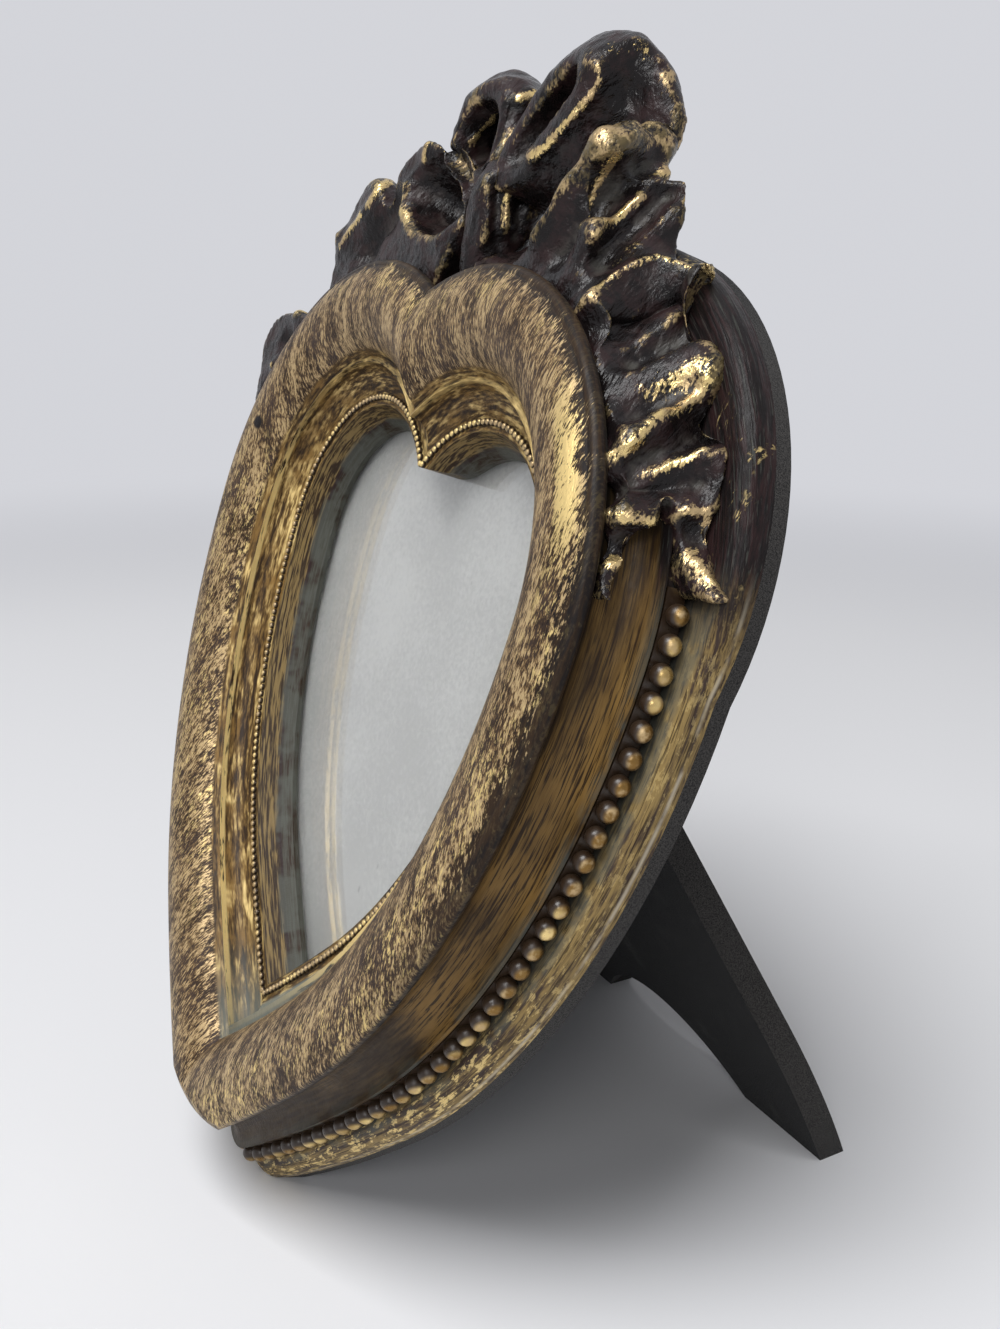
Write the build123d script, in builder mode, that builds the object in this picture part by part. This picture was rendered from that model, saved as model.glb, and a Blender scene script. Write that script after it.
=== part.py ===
from build123d import *

import os
from math import acos, cos, degrees, radians, sin, sqrt

# Heart shaped photo frame that leans back on its bottom tip and on a hinged easel leg.
# Millimetres and degrees. +X is the viewer's right, the frame faces -Y and +Z is up.
# The origin is on the table, in the middle of the flat that the tip stands on.

# How the frame stands
LEAN = 19.6  # back from upright
TIP_CUT = 1.2  # cut off the tip, on the back of the casting, to make a flat to stand on
REST_DEPTH = 1.0  # from the middle of that flat to the back of the casting

# Heart outline through the pearl row: lobes, flanks of two arcs each and a rounded tip
LOBE_X = 15.8
LOBE_R = 39.2
LOBE_SWEEP = 172.0  # far enough round for the innermost moulding to reach the middle
FLANK_R = 87.0
FLANK_ANGLE = 46.5
LOWER_R = 262.0
TIP_R = 5.0

# Section of the moulding. OUT is measured outwards from the pearl row, H from the back.
FLANGE_OUT = 3.3
FLANGE_RIM_H = 0.9
FLANGE_IN_OUT = 0.7
FLANGE_BULGE = 0.9
PEARL_WALL_OUT = -1.1
GROOVE_GAP = 0.3
NECK_OUT = -0.5
NECK_BAND = 0.6
SCOTIA_DEPTH = 2.6
ROLL_UNDER_OUT = -3.0
ROLL_UNDER_H = 13.7
ROLL_EDGE_BULGE = 1.2
ROLL_SHOULDER_OUT = -2.8
ROLL_SHOULDER_H = 15.9
ROLL_FOOT_OUT = -13.6
ROLL_FOOT_H = 14.1
ROLL_CROWN = 2.3
QUIRK_OUT = -14.3
QUIRK_H = 12.8
STEP_OUT = -15.3
STEP_H = 13.2
STEP_DROP = 0.6
LEDGE_OUT = -18.0
LEDGE_H = 9.4
COVE_DEPTH = 0.8
LIP_TOP_OUT = -20.3
SIGHT_OUT = -22.6
LIP_EDGE = 0.8
CLEFT_R = 14.0  # rounding of the tongue of the lip under the cleft
ROLL_TIP_R = 25.0  # the roll is shorter and rounder at the tip than the pearl row
ROLL_TIP_BLUNT = 4.0
ROLL_TIP_SWEEP = 40.0
ROLL_TIP_H = 8.8
ROLL_TIP_EDGE_H = 14.4
ROLL_TIP_TOP_OUT = -8.5
ROLL_TIP_TOP_H = 17.9
ROLL_TIP_CROWN = 1.2
SHOULDER_X = 21.6  # the flange is wider round the lobes, on a circle of its own
SHOULDER_Z = 7.2
SHOULDER_R = 37.6
SHOULDER_IN_R = 28.6  # well inside the casting
SHOULDER_SWEEP = 160.0

# Pearls on their strip, and the fine beading round the sight opening
PEARL_R = 1.2
PEARL_PITCH = 3.0
PEARL_H = 5.1
PEARL_PROUD = 0.8  # centre of a pearl above the face of its strip
PEARL_END_ANGLE = 13.0  # where the row ends on the lobe, in the notch of a ribbon tail
STRIP_T = 0.5
STRIP_WIDTH = 2.4
BEAD_R = 0.75
BEAD_OUT = -19.2

# Glazing, picture and back
GLASS_T = 1.6
CARD_T = 0.4
FILLER_T = 1.0
DOOR_T = 3.2
RING_T = 2.0
REBATE_OUT = -17.5
REBATE_GAP = 0.5

# Ribbon bow. ANGLE is measured round a lobe from the horizontal, OUT as for the moulding.
RIBBON_T = 1.8
TAIL_BACK_H = 3.4
TAIL_FRONT_H = 13.2
TAIL_BED_BACK_OUT = -1.5  # the tails are solid down to the moulding
TAIL_BED_FRONT_OUT = -6.5
RIGHT_START = (107.0, 1.0, 107.0, 8.0)  # angle and out of the front edge, then of the back edge
RIGHT_LEAF = (88.0, 1.0, 95.0, 9.5)
RIGHT_CREST = (78.5, 14.4, 81.0, 15.5)
RIGHT_SLIT = (76.0, 6.5, 78.0, 11.5)
RIGHT_RIDGE = (72.0, 6.0, 74.5, 13.8)
RIGHT_TROUGH = (67.0, -1.0, 66.5, 6.5)
RIGHT_ROLL = (59.5, 1.0, 59.0, 10.0)
RIGHT_HOLLOW = (48.0, -4.0, 52.0, 3.5)
RIGHT_BROW = (31.5, -0.6, 46.0, 5.6)
RIGHT_FACET = (29.5, -1.3, 39.5, 2.4)
RIGHT_PLEAT = (27.0, -0.6, 33.0, 4.6)
RIGHT_DIP = (21.0, -1.6, 25.0, 3.2)
LEFT_START = (107.0, 6.0, 107.0, 8.0)
LEFT_RUFFLE = (88.0, 15.0, 88.0, 13.0)
LEFT_RIM = (78.5, 12.5, 80.0, 12.0)
LEFT_DIP = (75.5, 8.5, 77.0, 9.5)
LEFT_FOLD = (70.5, 13.0, 72.0, 12.5)
LEFT_BROW = (58.5, 9.0, 60.0, 9.5)
LEFT_VALLEY = (50.0, 0.0, 49.0, 4.0)
LEFT_CURL = (40.0, 6.0, 39.0, 5.0)
TAIL_END = (8.5, -0.5, 12.0, 5.3)
NOTCH_ANGLE = 25.5
CUP_X = 13.0  # hollow of the first ruffle on the left
CUP_Z = 46.6
CUP_TURN = 21.0
CUP_RX = 8.6
CUP_RY = 5.2
CUP_FLOOR = 0.45  # size of the floor of the hollow, as a share of its mouth
CUP_DEPTH = 7.0
LOOP_BACK_H = 1.6
LOOP_MIDDLE_H = 7.0
LOOP_FRONT_H = 12.4
LOOP_ROOT_X = 1.2
LOOP_ROOT_RISE = 8.0  # RISE is measured up from the cleft of the flange
LOOP_BACK = (33.0, 24.5, 17.0)  # angle, length and width
RIGHT_LOOP_MIDDLE = (47.0, 25.0, 18.5)
RIGHT_LOOP_FRONT = (46.0, 21.0, 8.0)
LEFT_LOOP_MIDDLE = (45.0, 22.5, 17.5)
LEFT_LOOP_FRONT = (49.0, 16.5, 14.5)
LOOP_BELLY = 0.6  # where along its length a loop is widest
LOOP_FLOOR_H = 5.0  # the loops are hollowed from the front down to this floor
LOOP_FLOOR_INSET = 6.0
KNOT_H = 8.6
KNOT_STEM_RISE = -7.5
KNOT_STEM_RX = 2.4
KNOT_STEM_RY = 3.2
KNOT_WAIST_RISE = 0.5
KNOT_WAIST_RX = 3.4
KNOT_WAIST_RY = 4.2
KNOT_BELLY_RISE = 6.5
KNOT_BELLY_RX = 4.2
KNOT_BELLY_RY = 4.9
KNOT_TOP_RISE = 12.0
KNOT_TOP_RX = 3.0
KNOT_TOP_RY = 3.6

# Easel leg and its hinge on the back
LEG_OPEN = 43.0
LEG_T = 4.0
LEG_TOP_HALF = 14.3
LEG_HIP_HALF = 33.5
LEG_HIP = 22.0  # height of the hip above the foot, along the leg
LEG_FOOT_HALF = 36.0
ARCH_HALF = 19.0
ARCH_HEIGHT = 10.0
HINGE_Z = 0.0
PIN_R = 0.8
PIN_HEAD_R = 1.3
PIN_HEAD_T = 0.6
PIN_FIT = 0.05
KNUCKLE_R = 2.0
KNUCKLE_GAP = 0.2
KNUCKLE_CLEAR = 0.1
FIXED_KNUCKLE = 6.0
MOVING_KNUCKLE = 11.6
LEAF_T = 0.8
LEAF_LENGTH = 15.0
LEAF_START = 3.5
RIVET_R = 0.8
RIVET_HEAD_R = 1.6
RIVET_HEAD_T = 0.6
RIVET_DEPTH = 1.8
RIVET_SPREAD = 14.0
RIVET_REACH = 10.0  # from the hinge axis
STOP_CLEAR = 0.05

# Turn buttons that hold the back in
BUTTON_T = 0.9
BUTTON_R = 3.0
BUTTON_TIP_R = 2.2
BUTTON_LENGTH = 9.0  # from the screw to the centre of the tip
BUTTON_OUT = -11.5
BUTTON_LIFT = 0.05
UPPER_BUTTON_ANGLE = 50.0
LOWER_BUTTON_ANGLE = -14.0
SCREW_R = 1.0
SCREW_FIT = 0.05
SCREW_HEAD_R = 2.1
SCREW_HEAD_T = 1.0
SCREW_DEPTH = 5.0

# Directions of the leaning frame
UP = Vector(0, sin(radians(LEAN)), cos(radians(LEAN)))
FRONT = Vector(0, -cos(radians(LEAN)), sin(radians(LEAN)))
RIGHT = Vector(1, 0, 0)

# Centres of the outline's arcs, in the plane of the heart
FLANK_X = LOBE_X - (FLANK_R - LOBE_R)
LOWER_X = FLANK_X - (LOWER_R - FLANK_R) * cos(radians(FLANK_ANGLE))
LOWER_Z = (LOWER_R - FLANK_R) * sin(radians(FLANK_ANGLE))
TIP_ANGLE = degrees(acos(-LOWER_X / (LOWER_R - TIP_R)))
TIP_Z = LOWER_Z - (LOWER_R - TIP_R) * sin(radians(TIP_ANGLE))
ROLL_TIP_Z = TIP_Z - TIP_R + ROLL_TIP_BLUNT + ROLL_TIP_R
FLOOR_Z = TIP_Z - TIP_R - FLANGE_OUT + TIP_CUT
CLEFT_Z = sqrt((LOBE_R + FLANGE_OUT) ** 2 - LOBE_X**2)
HEART_ORIGIN = Vector(0, REST_DEPTH, 0) + UP * -FLOOR_Z

# Heights of the stack above the back of the casting
DOOR_TOP = DOOR_T - RING_T
FILLER_TOP = DOOR_TOP + FILLER_T
CARD_TOP = FILLER_TOP + CARD_T
REBATE_H = CARD_TOP + GLASS_T
FLANGE_TOP_H = PEARL_H - STRIP_WIDTH / 2 - GROOVE_GAP
NECK_H = PEARL_H + STRIP_WIDTH / 2 + GROOVE_GAP


def place(x, z, height):
    """Point of the leaning frame, from its place in the heart's plane and its height above the back."""
    return HEART_ORIGIN + RIGHT * x + UP * z + FRONT * height


def heart_plane(height):
    """Plane parallel to the back of the frame, with its normal to the front."""
    return Plane(origin=place(0, 0, height), x_dir=RIGHT, z_dir=FRONT)


def round_lobe(angle, out):
    """Place in the heart's plane at an angle round the right lobe."""
    radius = LOBE_R + out
    return (LOBE_X + radius * cos(radians(angle)), radius * sin(radians(angle)))


def heart_face(out):
    """Face of the heart outline, offset outwards from the pearl row."""
    lobe = LOBE_R + out
    flank = FLANK_R + out
    lower = LOWER_R + out
    cleft = degrees(acos(-LOBE_X / lobe))
    end = TIP_ANGLE
    if TIP_R + out <= 0:
        end = degrees(acos(-LOWER_X / lower))
    with BuildSketch() as face:
        with BuildLine():
            CenterArc((LOBE_X, 0), lobe, 0, cleft)
            CenterArc((FLANK_X, 0), flank, -FLANK_ANGLE, FLANK_ANGLE)
            CenterArc((LOWER_X, LOWER_Z), lower, -end, end - FLANK_ANGLE)
            if TIP_R + out > 0:
                CenterArc((0, TIP_Z), TIP_R + out, -90, 90 - TIP_ANGLE)
            mirror(about=Plane.YZ)
        make_face()
    return face.sketch


def section_plane(x, z, angle):
    """Plane square to the outline, at an angle about one of its arc centres."""
    along = RIGHT * cos(radians(angle)) + UP * sin(radians(angle))
    return Plane(origin=place(x, z, 0), x_dir=along, z_dir=along.cross(FRONT))


def moulding_section(radius):
    """Section of the moulding on an arc of the outline."""
    with BuildSketch() as section:
        with BuildLine():
            rim = Line((radius + FLANGE_OUT, 0), (radius + FLANGE_OUT, FLANGE_RIM_H))
            flange = SagittaArc(rim @ 1, (radius + FLANGE_IN_OUT, FLANGE_TOP_H), -FLANGE_BULGE)
            groove = Polyline(
                flange @ 1,
                (radius + PEARL_WALL_OUT, FLANGE_TOP_H),
                (radius + PEARL_WALL_OUT, NECK_H),
                (radius + NECK_OUT, NECK_H),
                (radius + NECK_OUT, NECK_H + NECK_BAND),
            )
            scotia = SagittaArc(groove @ 1, (radius + ROLL_UNDER_OUT, ROLL_UNDER_H), SCOTIA_DEPTH)
            edge = SagittaArc(scotia @ 1, (radius + ROLL_SHOULDER_OUT, ROLL_SHOULDER_H), -ROLL_EDGE_BULGE)
            roll = SagittaArc(edge @ 1, (radius + ROLL_FOOT_OUT, ROLL_FOOT_H), -ROLL_CROWN)
            step = Polyline(
                roll @ 1,
                (radius + QUIRK_OUT, QUIRK_H),
                (radius + STEP_OUT, STEP_H),
                (radius + STEP_OUT, STEP_H - STEP_DROP),
            )
            cove = SagittaArc(step @ 1, (radius + LEDGE_OUT, LEDGE_H), COVE_DEPTH)
            Polyline(
                cove @ 1,
                (radius + LIP_TOP_OUT, LEDGE_H),
                (radius + SIGHT_OUT, REBATE_H + LIP_EDGE),
                (radius + SIGHT_OUT, REBATE_H),
                (radius + REBATE_OUT, REBATE_H),
                (radius + REBATE_OUT, 0),
                rim @ 0,
            )
        make_face()
    return section.sketch


def shoulder_section(radius):
    """Section of the flange where it is wider, round a lobe."""
    with BuildSketch() as section:
        with BuildLine():
            rim = Line((radius, 0), (radius, FLANGE_RIM_H))
            top = SagittaArc(rim @ 1, (radius - FLANGE_OUT + FLANGE_IN_OUT, FLANGE_TOP_H), -FLANGE_BULGE)
            Polyline(top @ 1, (SHOULDER_IN_R, FLANGE_TOP_H), (SHOULDER_IN_R, 0), rim @ 0)
        make_face()
    return section.sketch


def roll_waste(radius):
    """Section of what is taken off outside the roll at the tip."""
    edge = radius + ROLL_UNDER_OUT + ROLL_EDGE_BULGE
    with BuildSketch() as section:
        with BuildLine():
            under = Line((edge, ROLL_TIP_H), (edge, ROLL_TIP_EDGE_H))
            crown = SagittaArc(under @ 1, (radius + ROLL_TIP_TOP_OUT, ROLL_TIP_TOP_H), -ROLL_TIP_CROWN)
            Polyline(
                crown @ 1,
                (radius + ROLL_TIP_TOP_OUT, 2 * ROLL_TIP_TOP_H),
                (2 * radius, 2 * ROLL_TIP_TOP_H),
                (2 * radius, ROLL_TIP_H),
                under @ 0,
            )
        make_face()
    return section.sketch


def strip_section(radius):
    """Section of the strip that carries the pearls."""
    with BuildSketch() as section:
        with Locations((radius + PEARL_WALL_OUT, PEARL_H)):
            Rectangle(STRIP_T, STRIP_WIDTH, align=(Align.MIN, Align.CENTER))
    return section.sketch


def bead_section(radius):
    """Half-round section of the fine beading, flat on its ledge."""
    with BuildSketch() as section:
        with Locations((radius + BEAD_OUT, LEDGE_H)):
            Circle(BEAD_R)
            Rectangle(4 * BEAD_R, 2 * BEAD_R, align=(Align.CENTER, Align.MIN), mode=Mode.INTERSECT)
    return section.sketch


def run(section, x, z, radius, start, turn, mode=Mode.ADD):
    """Revolve a section about one arc centre of the outline."""
    with BuildSketch(section_plane(x, z, start)) as profile:
        add(section(radius))
    revolve(profile.sketch, axis=Axis(place(x, z, 0), FRONT), revolution_arc=turn, mode=mode)


def run_tip(section):
    """Revolve the outer part of a section round the rounded tip."""
    with BuildSketch(section_plane(0, TIP_Z, -90)) as profile:
        add(section(TIP_R))
        with Locations((0, -TIP_R)):
            Rectangle(LOBE_R, LOBE_R, align=(Align.MIN, Align.MIN), mode=Mode.INTERSECT)
    revolve(profile.sketch, axis=Axis(place(0, TIP_Z, 0), FRONT), revolution_arc=90 - TIP_ANGLE)


def floor_cut():
    """Take away what would reach below the table."""
    reach = 8 * LOBE_R
    Box(reach, reach, LOBE_R, align=(Align.CENTER, Align.CENTER, Align.MAX), mode=Mode.SUBTRACT)


# Turn button seats, as places in the plane of the heart and the direction of each tongue
button_seats = {}
for side, sign in (("right", 1), ("left", -1)):
    for level, centre_x, radius, angle in (
        ("upper", LOBE_X, LOBE_R, UPPER_BUTTON_ANGLE),
        ("lower", FLANK_X, FLANK_R, LOWER_BUTTON_ANGLE),
    ):
        reach = radius + BUTTON_OUT
        seat_x = centre_x + reach * cos(radians(angle))
        seat_z = reach * sin(radians(angle))
        inward = RIGHT * (-sign * cos(radians(angle))) + UP * -sin(radians(angle))
        button_seats[f"{level}_{side}"] = (sign * seat_x, seat_z, inward)

screw_points = [(x, z) for x, z, inward in button_seats.values()]

# Cast heart moulding
with BuildPart() as heart_moulding:
    run(shoulder_section, SHOULDER_X, SHOULDER_Z, SHOULDER_R, -SHOULDER_SWEEP / 4, SHOULDER_SWEEP)
    run(moulding_section, LOBE_X, 0, LOBE_R, 0, LOBE_SWEEP)
    run(moulding_section, FLANK_X, 0, FLANK_R, -FLANK_ANGLE, FLANK_ANGLE)
    run(moulding_section, LOWER_X, LOWER_Z, LOWER_R, -TIP_ANGLE, TIP_ANGLE - FLANK_ANGLE)
    split(bisect_by=Plane.YZ, keep=Keep.TOP)
    run_tip(moulding_section)
    run(roll_waste, 0, ROLL_TIP_Z, ROLL_TIP_R, -90, ROLL_TIP_SWEEP, mode=Mode.SUBTRACT)
    mirror(about=Plane.YZ)
    # the tongue of the lip under the cleft is rounded off
    sight_r = LOBE_R + SIGHT_OUT
    tongue_z = sqrt((sight_r + CLEFT_R) ** 2 - LOBE_X**2)
    tangent_x = LOBE_X * CLEFT_R / (sight_r + CLEFT_R)
    tangent_z = tongue_z * sight_r / (sight_r + CLEFT_R)
    with BuildSketch(heart_plane(0)):
        with BuildLine():
            tongue = ThreePointArc((-tangent_x, tangent_z), (0, tongue_z - CLEFT_R), (tangent_x, tangent_z))
            Polyline(tongue @ 1, (tangent_x, 0), (-tangent_x, 0), tongue @ 0)
        make_face()
    extrude(amount=ROLL_SHOULDER_H, mode=Mode.SUBTRACT)
    with BuildSketch(heart_plane(0)):
        with Locations(*screw_points):
            Circle(SCREW_R + SCREW_FIT)
    extrude(amount=SCREW_DEPTH - RING_T, mode=Mode.SUBTRACT)
    floor_cut()

# Pearls on their strip, from under one ribbon tail round the tip to the other
lower_run = radians(TIP_ANGLE - FLANK_ANGLE) * LOWER_R
flank_run = radians(FLANK_ANGLE) * FLANK_R
tip_run = radians(90 - TIP_ANGLE) * TIP_R
lobe_run = radians(PEARL_END_ANGLE) * LOBE_R
pearl_out = PEARL_WALL_OUT + STRIP_T + PEARL_PROUD


def pearl_plane(distance):
    """Plane through a pearl, facing outwards, at a distance from the tip along the right flank."""
    if distance < tip_run:
        centre_x, centre_z, radius, angle = 0, TIP_Z, TIP_R, degrees(distance / TIP_R) - 90
    elif distance < tip_run + lower_run:
        turn = degrees((distance - tip_run) / LOWER_R)
        centre_x, centre_z, radius, angle = LOWER_X, LOWER_Z, LOWER_R, turn - TIP_ANGLE
    elif distance < tip_run + lower_run + flank_run:
        turn = degrees((distance - tip_run - lower_run) / FLANK_R)
        centre_x, centre_z, radius, angle = FLANK_X, 0, FLANK_R, turn - FLANK_ANGLE
    else:
        turn = degrees((distance - tip_run - lower_run - flank_run) / LOBE_R)
        centre_x, centre_z, radius, angle = LOBE_X, 0, LOBE_R, turn
    outwards = RIGHT * cos(radians(angle)) + UP * sin(radians(angle))
    centre = place(centre_x, centre_z, PEARL_H) + outwards * (radius + pearl_out)
    return Plane(origin=centre, x_dir=FRONT, z_dir=outwards)


pearl_count = int((tip_run + lower_run + flank_run + lobe_run) / PEARL_PITCH)
pearls = [pearl_plane((number + 0.5) * PEARL_PITCH) for number in range(pearl_count)]
with BuildPart() as pearl_beading:
    run(strip_section, LOBE_X, 0, LOBE_R, 0, PEARL_END_ANGLE)
    run(strip_section, FLANK_X, 0, FLANK_R, -FLANK_ANGLE, FLANK_ANGLE)
    run(strip_section, LOWER_X, LOWER_Z, LOWER_R, -TIP_ANGLE, TIP_ANGLE - FLANK_ANGLE)
    run_tip(strip_section)
    with Locations(*pearls):
        Sphere(PEARL_R)
    mirror(about=Plane.YZ)

# Fine beading on the ledge round the sight opening
with BuildPart() as sight_beading:
    run(bead_section, LOBE_X, 0, LOBE_R, 0, LOBE_SWEEP)
    run(bead_section, FLANK_X, 0, FLANK_R, -FLANK_ANGLE, FLANK_ANGLE)
    run(bead_section, LOWER_X, LOWER_Z, LOWER_R, -TIP_ANGLE, TIP_ANGLE - FLANK_ANGLE)
    split(bisect_by=Plane.YZ, keep=Keep.TOP)
    mirror(about=Plane.YZ)

# Knot of the bow, let into the cleft
with BuildPart() as bow_knot:
    for rise, rx, ry in (
        (KNOT_STEM_RISE, KNOT_STEM_RX, KNOT_STEM_RY),
        (KNOT_WAIST_RISE, KNOT_WAIST_RX, KNOT_WAIST_RY),
        (KNOT_BELLY_RISE, KNOT_BELLY_RX, KNOT_BELLY_RY),
        (KNOT_TOP_RISE, KNOT_TOP_RX, KNOT_TOP_RY),
    ):
        with BuildSketch(Plane(origin=place(0, CLEFT_Z + rise, KNOT_H), x_dir=RIGHT, z_dir=UP)):
            Ellipse(rx, ry)
    loft()
    add(heart_moulding.part, mode=Mode.SUBTRACT)

# Ribbon tails: on the right a crest, a roll and pleats, on the left a hollow ruffle and two plain ones
right_folds = [RIGHT_START, RIGHT_LEAF, RIGHT_CREST, RIGHT_SLIT, RIGHT_RIDGE, RIGHT_TROUGH, RIGHT_ROLL]
right_folds += [RIGHT_HOLLOW, RIGHT_BROW, RIGHT_FACET, RIGHT_PLEAT, RIGHT_DIP, TAIL_END]
left_folds = [LEFT_START, LEFT_RUFFLE, LEFT_RIM, LEFT_DIP, LEFT_FOLD, LEFT_BROW]
left_folds += [LEFT_VALLEY, LEFT_CURL, TAIL_END]


def ribbon_tail(folds):
    """Pleated ribbon tail on the right lobe, with a swallowtail end, seated on the moulding and the knot."""
    front = [round_lobe(angle, out) for angle, out, back_angle, back_out in folds]
    back = [round_lobe(back_angle, back_out) for angle, out, back_angle, back_out in folds]
    start_angle = folds[0][0]
    end_angle, front_out, back_angle, back_out = TAIL_END
    with BuildPart() as tail:
        for height, line, bed, stop_angle in (
            (TAIL_BACK_H, back, TAIL_BED_BACK_OUT, back_angle),
            (TAIL_FRONT_H, front, TAIL_BED_FRONT_OUT, end_angle),
        ):
            with BuildSketch(heart_plane(height)):
                with BuildLine():
                    outside = Spline(*line)
                    inside = CenterArc((LOBE_X, 0), LOBE_R + bed, start_angle, stop_angle - start_angle)
                    Line(outside @ 0, inside @ 0)
                    Line(outside @ 1, inside @ 1)
                make_face()
        loft(ruled=True)
        end_x, end_z = round_lobe(end_angle, (front_out + back_out) / 2)
        along = RIGHT * -sin(radians(end_angle)) + UP * cos(radians(end_angle))
        middle = place(end_x, end_z, (TAIL_BACK_H + TAIL_FRONT_H) / 2)
        half = (TAIL_FRONT_H - TAIL_BACK_H) / 2
        depth = radians(NOTCH_ANGLE - end_angle) * LOBE_R
        with BuildSketch(Plane(origin=middle, x_dir=FRONT, z_dir=FRONT.cross(along))):
            with BuildLine():
                Polyline((-half, -RIBBON_T), (0, depth), (half, -RIBBON_T), close=True)
            make_face()
        extrude(amount=LOBE_R / 2, both=True, mode=Mode.SUBTRACT)
        for neighbour in (heart_moulding, pearl_beading, bow_knot):
            add(neighbour.part, mode=Mode.SUBTRACT)
    return tail


bow_tail_right = ribbon_tail(right_folds)
left_on_right = ribbon_tail(left_folds)
with BuildPart() as bow_tail_left:
    add(left_on_right.part)
    for height, share in ((TAIL_FRONT_H - CUP_DEPTH, CUP_FLOOR), (TAIL_FRONT_H, 1)):
        with BuildSketch(heart_plane(height)):
            with Locations((CUP_X, CUP_Z)):
                Ellipse(CUP_RX * share, CUP_RY * share, rotation=CUP_TURN)
    loft(mode=Mode.SUBTRACT)
    mirror(about=Plane.YZ, mode=Mode.REPLACE)


def loop_face(sign, angle, length, width, inset):
    """Face of a ribbon loop, drawn in by an inset for the hollow inside it."""
    along = Vector(sign * cos(radians(angle)), sin(radians(angle)))
    across = Vector(-along.Y, along.X)
    start = Vector(sign * LOOP_ROOT_X, CLEFT_Z + LOOP_ROOT_RISE)
    root = start + along * (2 * inset)
    belly = start + along * (length * LOOP_BELLY)
    tip = start + along * (length - inset)
    half = across * (width / 2 - inset)
    leaving = along * 0.6 - across
    coming = along * -0.6 - across
    with BuildSketch() as face:
        with BuildLine():
            Spline(root, belly - half, tip, tangents=[leaving, across], tangent_scalars=[1, 1])
            Spline(tip, belly + half, root, tangents=[across, coming], tangent_scalars=[1, 1])
        make_face()
    return face.sketch


def ribbon_loop(sign, middle, front):
    """Ribbon loop, seated on the knot and the tails."""
    outside = ((LOOP_BACK_H, LOOP_BACK, 0), (LOOP_MIDDLE_H, middle, 0), (LOOP_FRONT_H, front, 0))
    hollow = ((LOOP_FLOOR_H, middle, LOOP_FLOOR_INSET), (LOOP_FRONT_H, front, RIBBON_T))
    with BuildPart() as loop:
        for faces, mode in ((outside, Mode.ADD), (hollow, Mode.SUBTRACT)):
            for height, (angle, length, width), inset in faces:
                with BuildSketch(heart_plane(height)):
                    add(loop_face(sign, angle, length, width, inset))
            loft(mode=mode)
        for neighbour in (bow_knot, bow_tail_right, bow_tail_left):
            add(neighbour.part, mode=Mode.SUBTRACT)
    # a corner that a tail cuts off is left out
    with BuildPart() as whole:
        add(loop.part.solids().sort_by(SortBy.VOLUME)[-1])
    return whole


bow_loop_right = ribbon_loop(1, RIGHT_LOOP_MIDDLE, RIGHT_LOOP_FRONT)
bow_loop_left = ribbon_loop(-1, LEFT_LOOP_MIDDLE, LEFT_LOOP_FRONT)

# Glass, picture and packing in the rebate
with BuildPart() as glass_pane:
    with BuildSketch(heart_plane(CARD_TOP)):
        add(heart_face(REBATE_OUT - REBATE_GAP))
    extrude(amount=GLASS_T)

with BuildPart() as photo_card:
    with BuildSketch(heart_plane(FILLER_TOP)):
        add(heart_face(REBATE_OUT - REBATE_GAP))
    extrude(amount=CARD_T)

with BuildPart() as filler_board:
    with BuildSketch(heart_plane(DOOR_TOP)):
        add(heart_face(REBATE_OUT - REBATE_GAP))
    extrude(amount=FILLER_T)

# Velvet-covered ring glued to the back of the casting
with BuildPart() as rear_velvet_ring:
    with BuildSketch(heart_plane(-RING_T)):
        add(heart_face(FLANGE_OUT))
        with Locations((SHOULDER_X, SHOULDER_Z), (-SHOULDER_X, SHOULDER_Z)):
            Circle(SHOULDER_R)
        add(heart_face(REBATE_OUT), mode=Mode.SUBTRACT)
        with Locations(*screw_points):
            Circle(SCREW_R + SCREW_FIT, mode=Mode.SUBTRACT)
    extrude(amount=RING_T)
    floor_cut()

# Hinge: the axis lies behind the back board, across the frame
axis_h = -RING_T - KNUCKLE_CLEAR - KNUCKLE_R
hinge_point = place(0, HINGE_Z, axis_h)
leg_angle = radians(LEG_OPEN - LEAN)
DOWN_LEG = Vector(0, sin(leg_angle), -cos(leg_angle))
OUT_LEG = Vector(0, cos(leg_angle), sin(leg_angle))
leg_length = hinge_point.Z / cos(leg_angle)
hinge_half = MOVING_KNUCKLE / 2 + KNUCKLE_GAP + FIXED_KNUCKLE
fixed_middle = hinge_half - FIXED_KNUCKLE / 2


def leg_plane(down, out):
    """Plane along the open leg, its y axis down the leg and its normal outwards."""
    return Plane(origin=hinge_point + DOWN_LEG * down + OUT_LEG * out, x_dir=RIGHT, z_dir=OUT_LEG)


with BuildPart() as back_board:
    with BuildSketch(heart_plane(-RING_T)):
        add(heart_face(REBATE_OUT - REBATE_GAP))
    extrude(amount=DOOR_T)
    with BuildSketch(heart_plane(-RING_T)):
        with Locations((0, HINGE_Z + RIVET_REACH)):
            with GridLocations(RIVET_SPREAD, 0, 2, 1):
                Circle(RIVET_R)
    extrude(amount=RIVET_DEPTH, mode=Mode.SUBTRACT)

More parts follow.
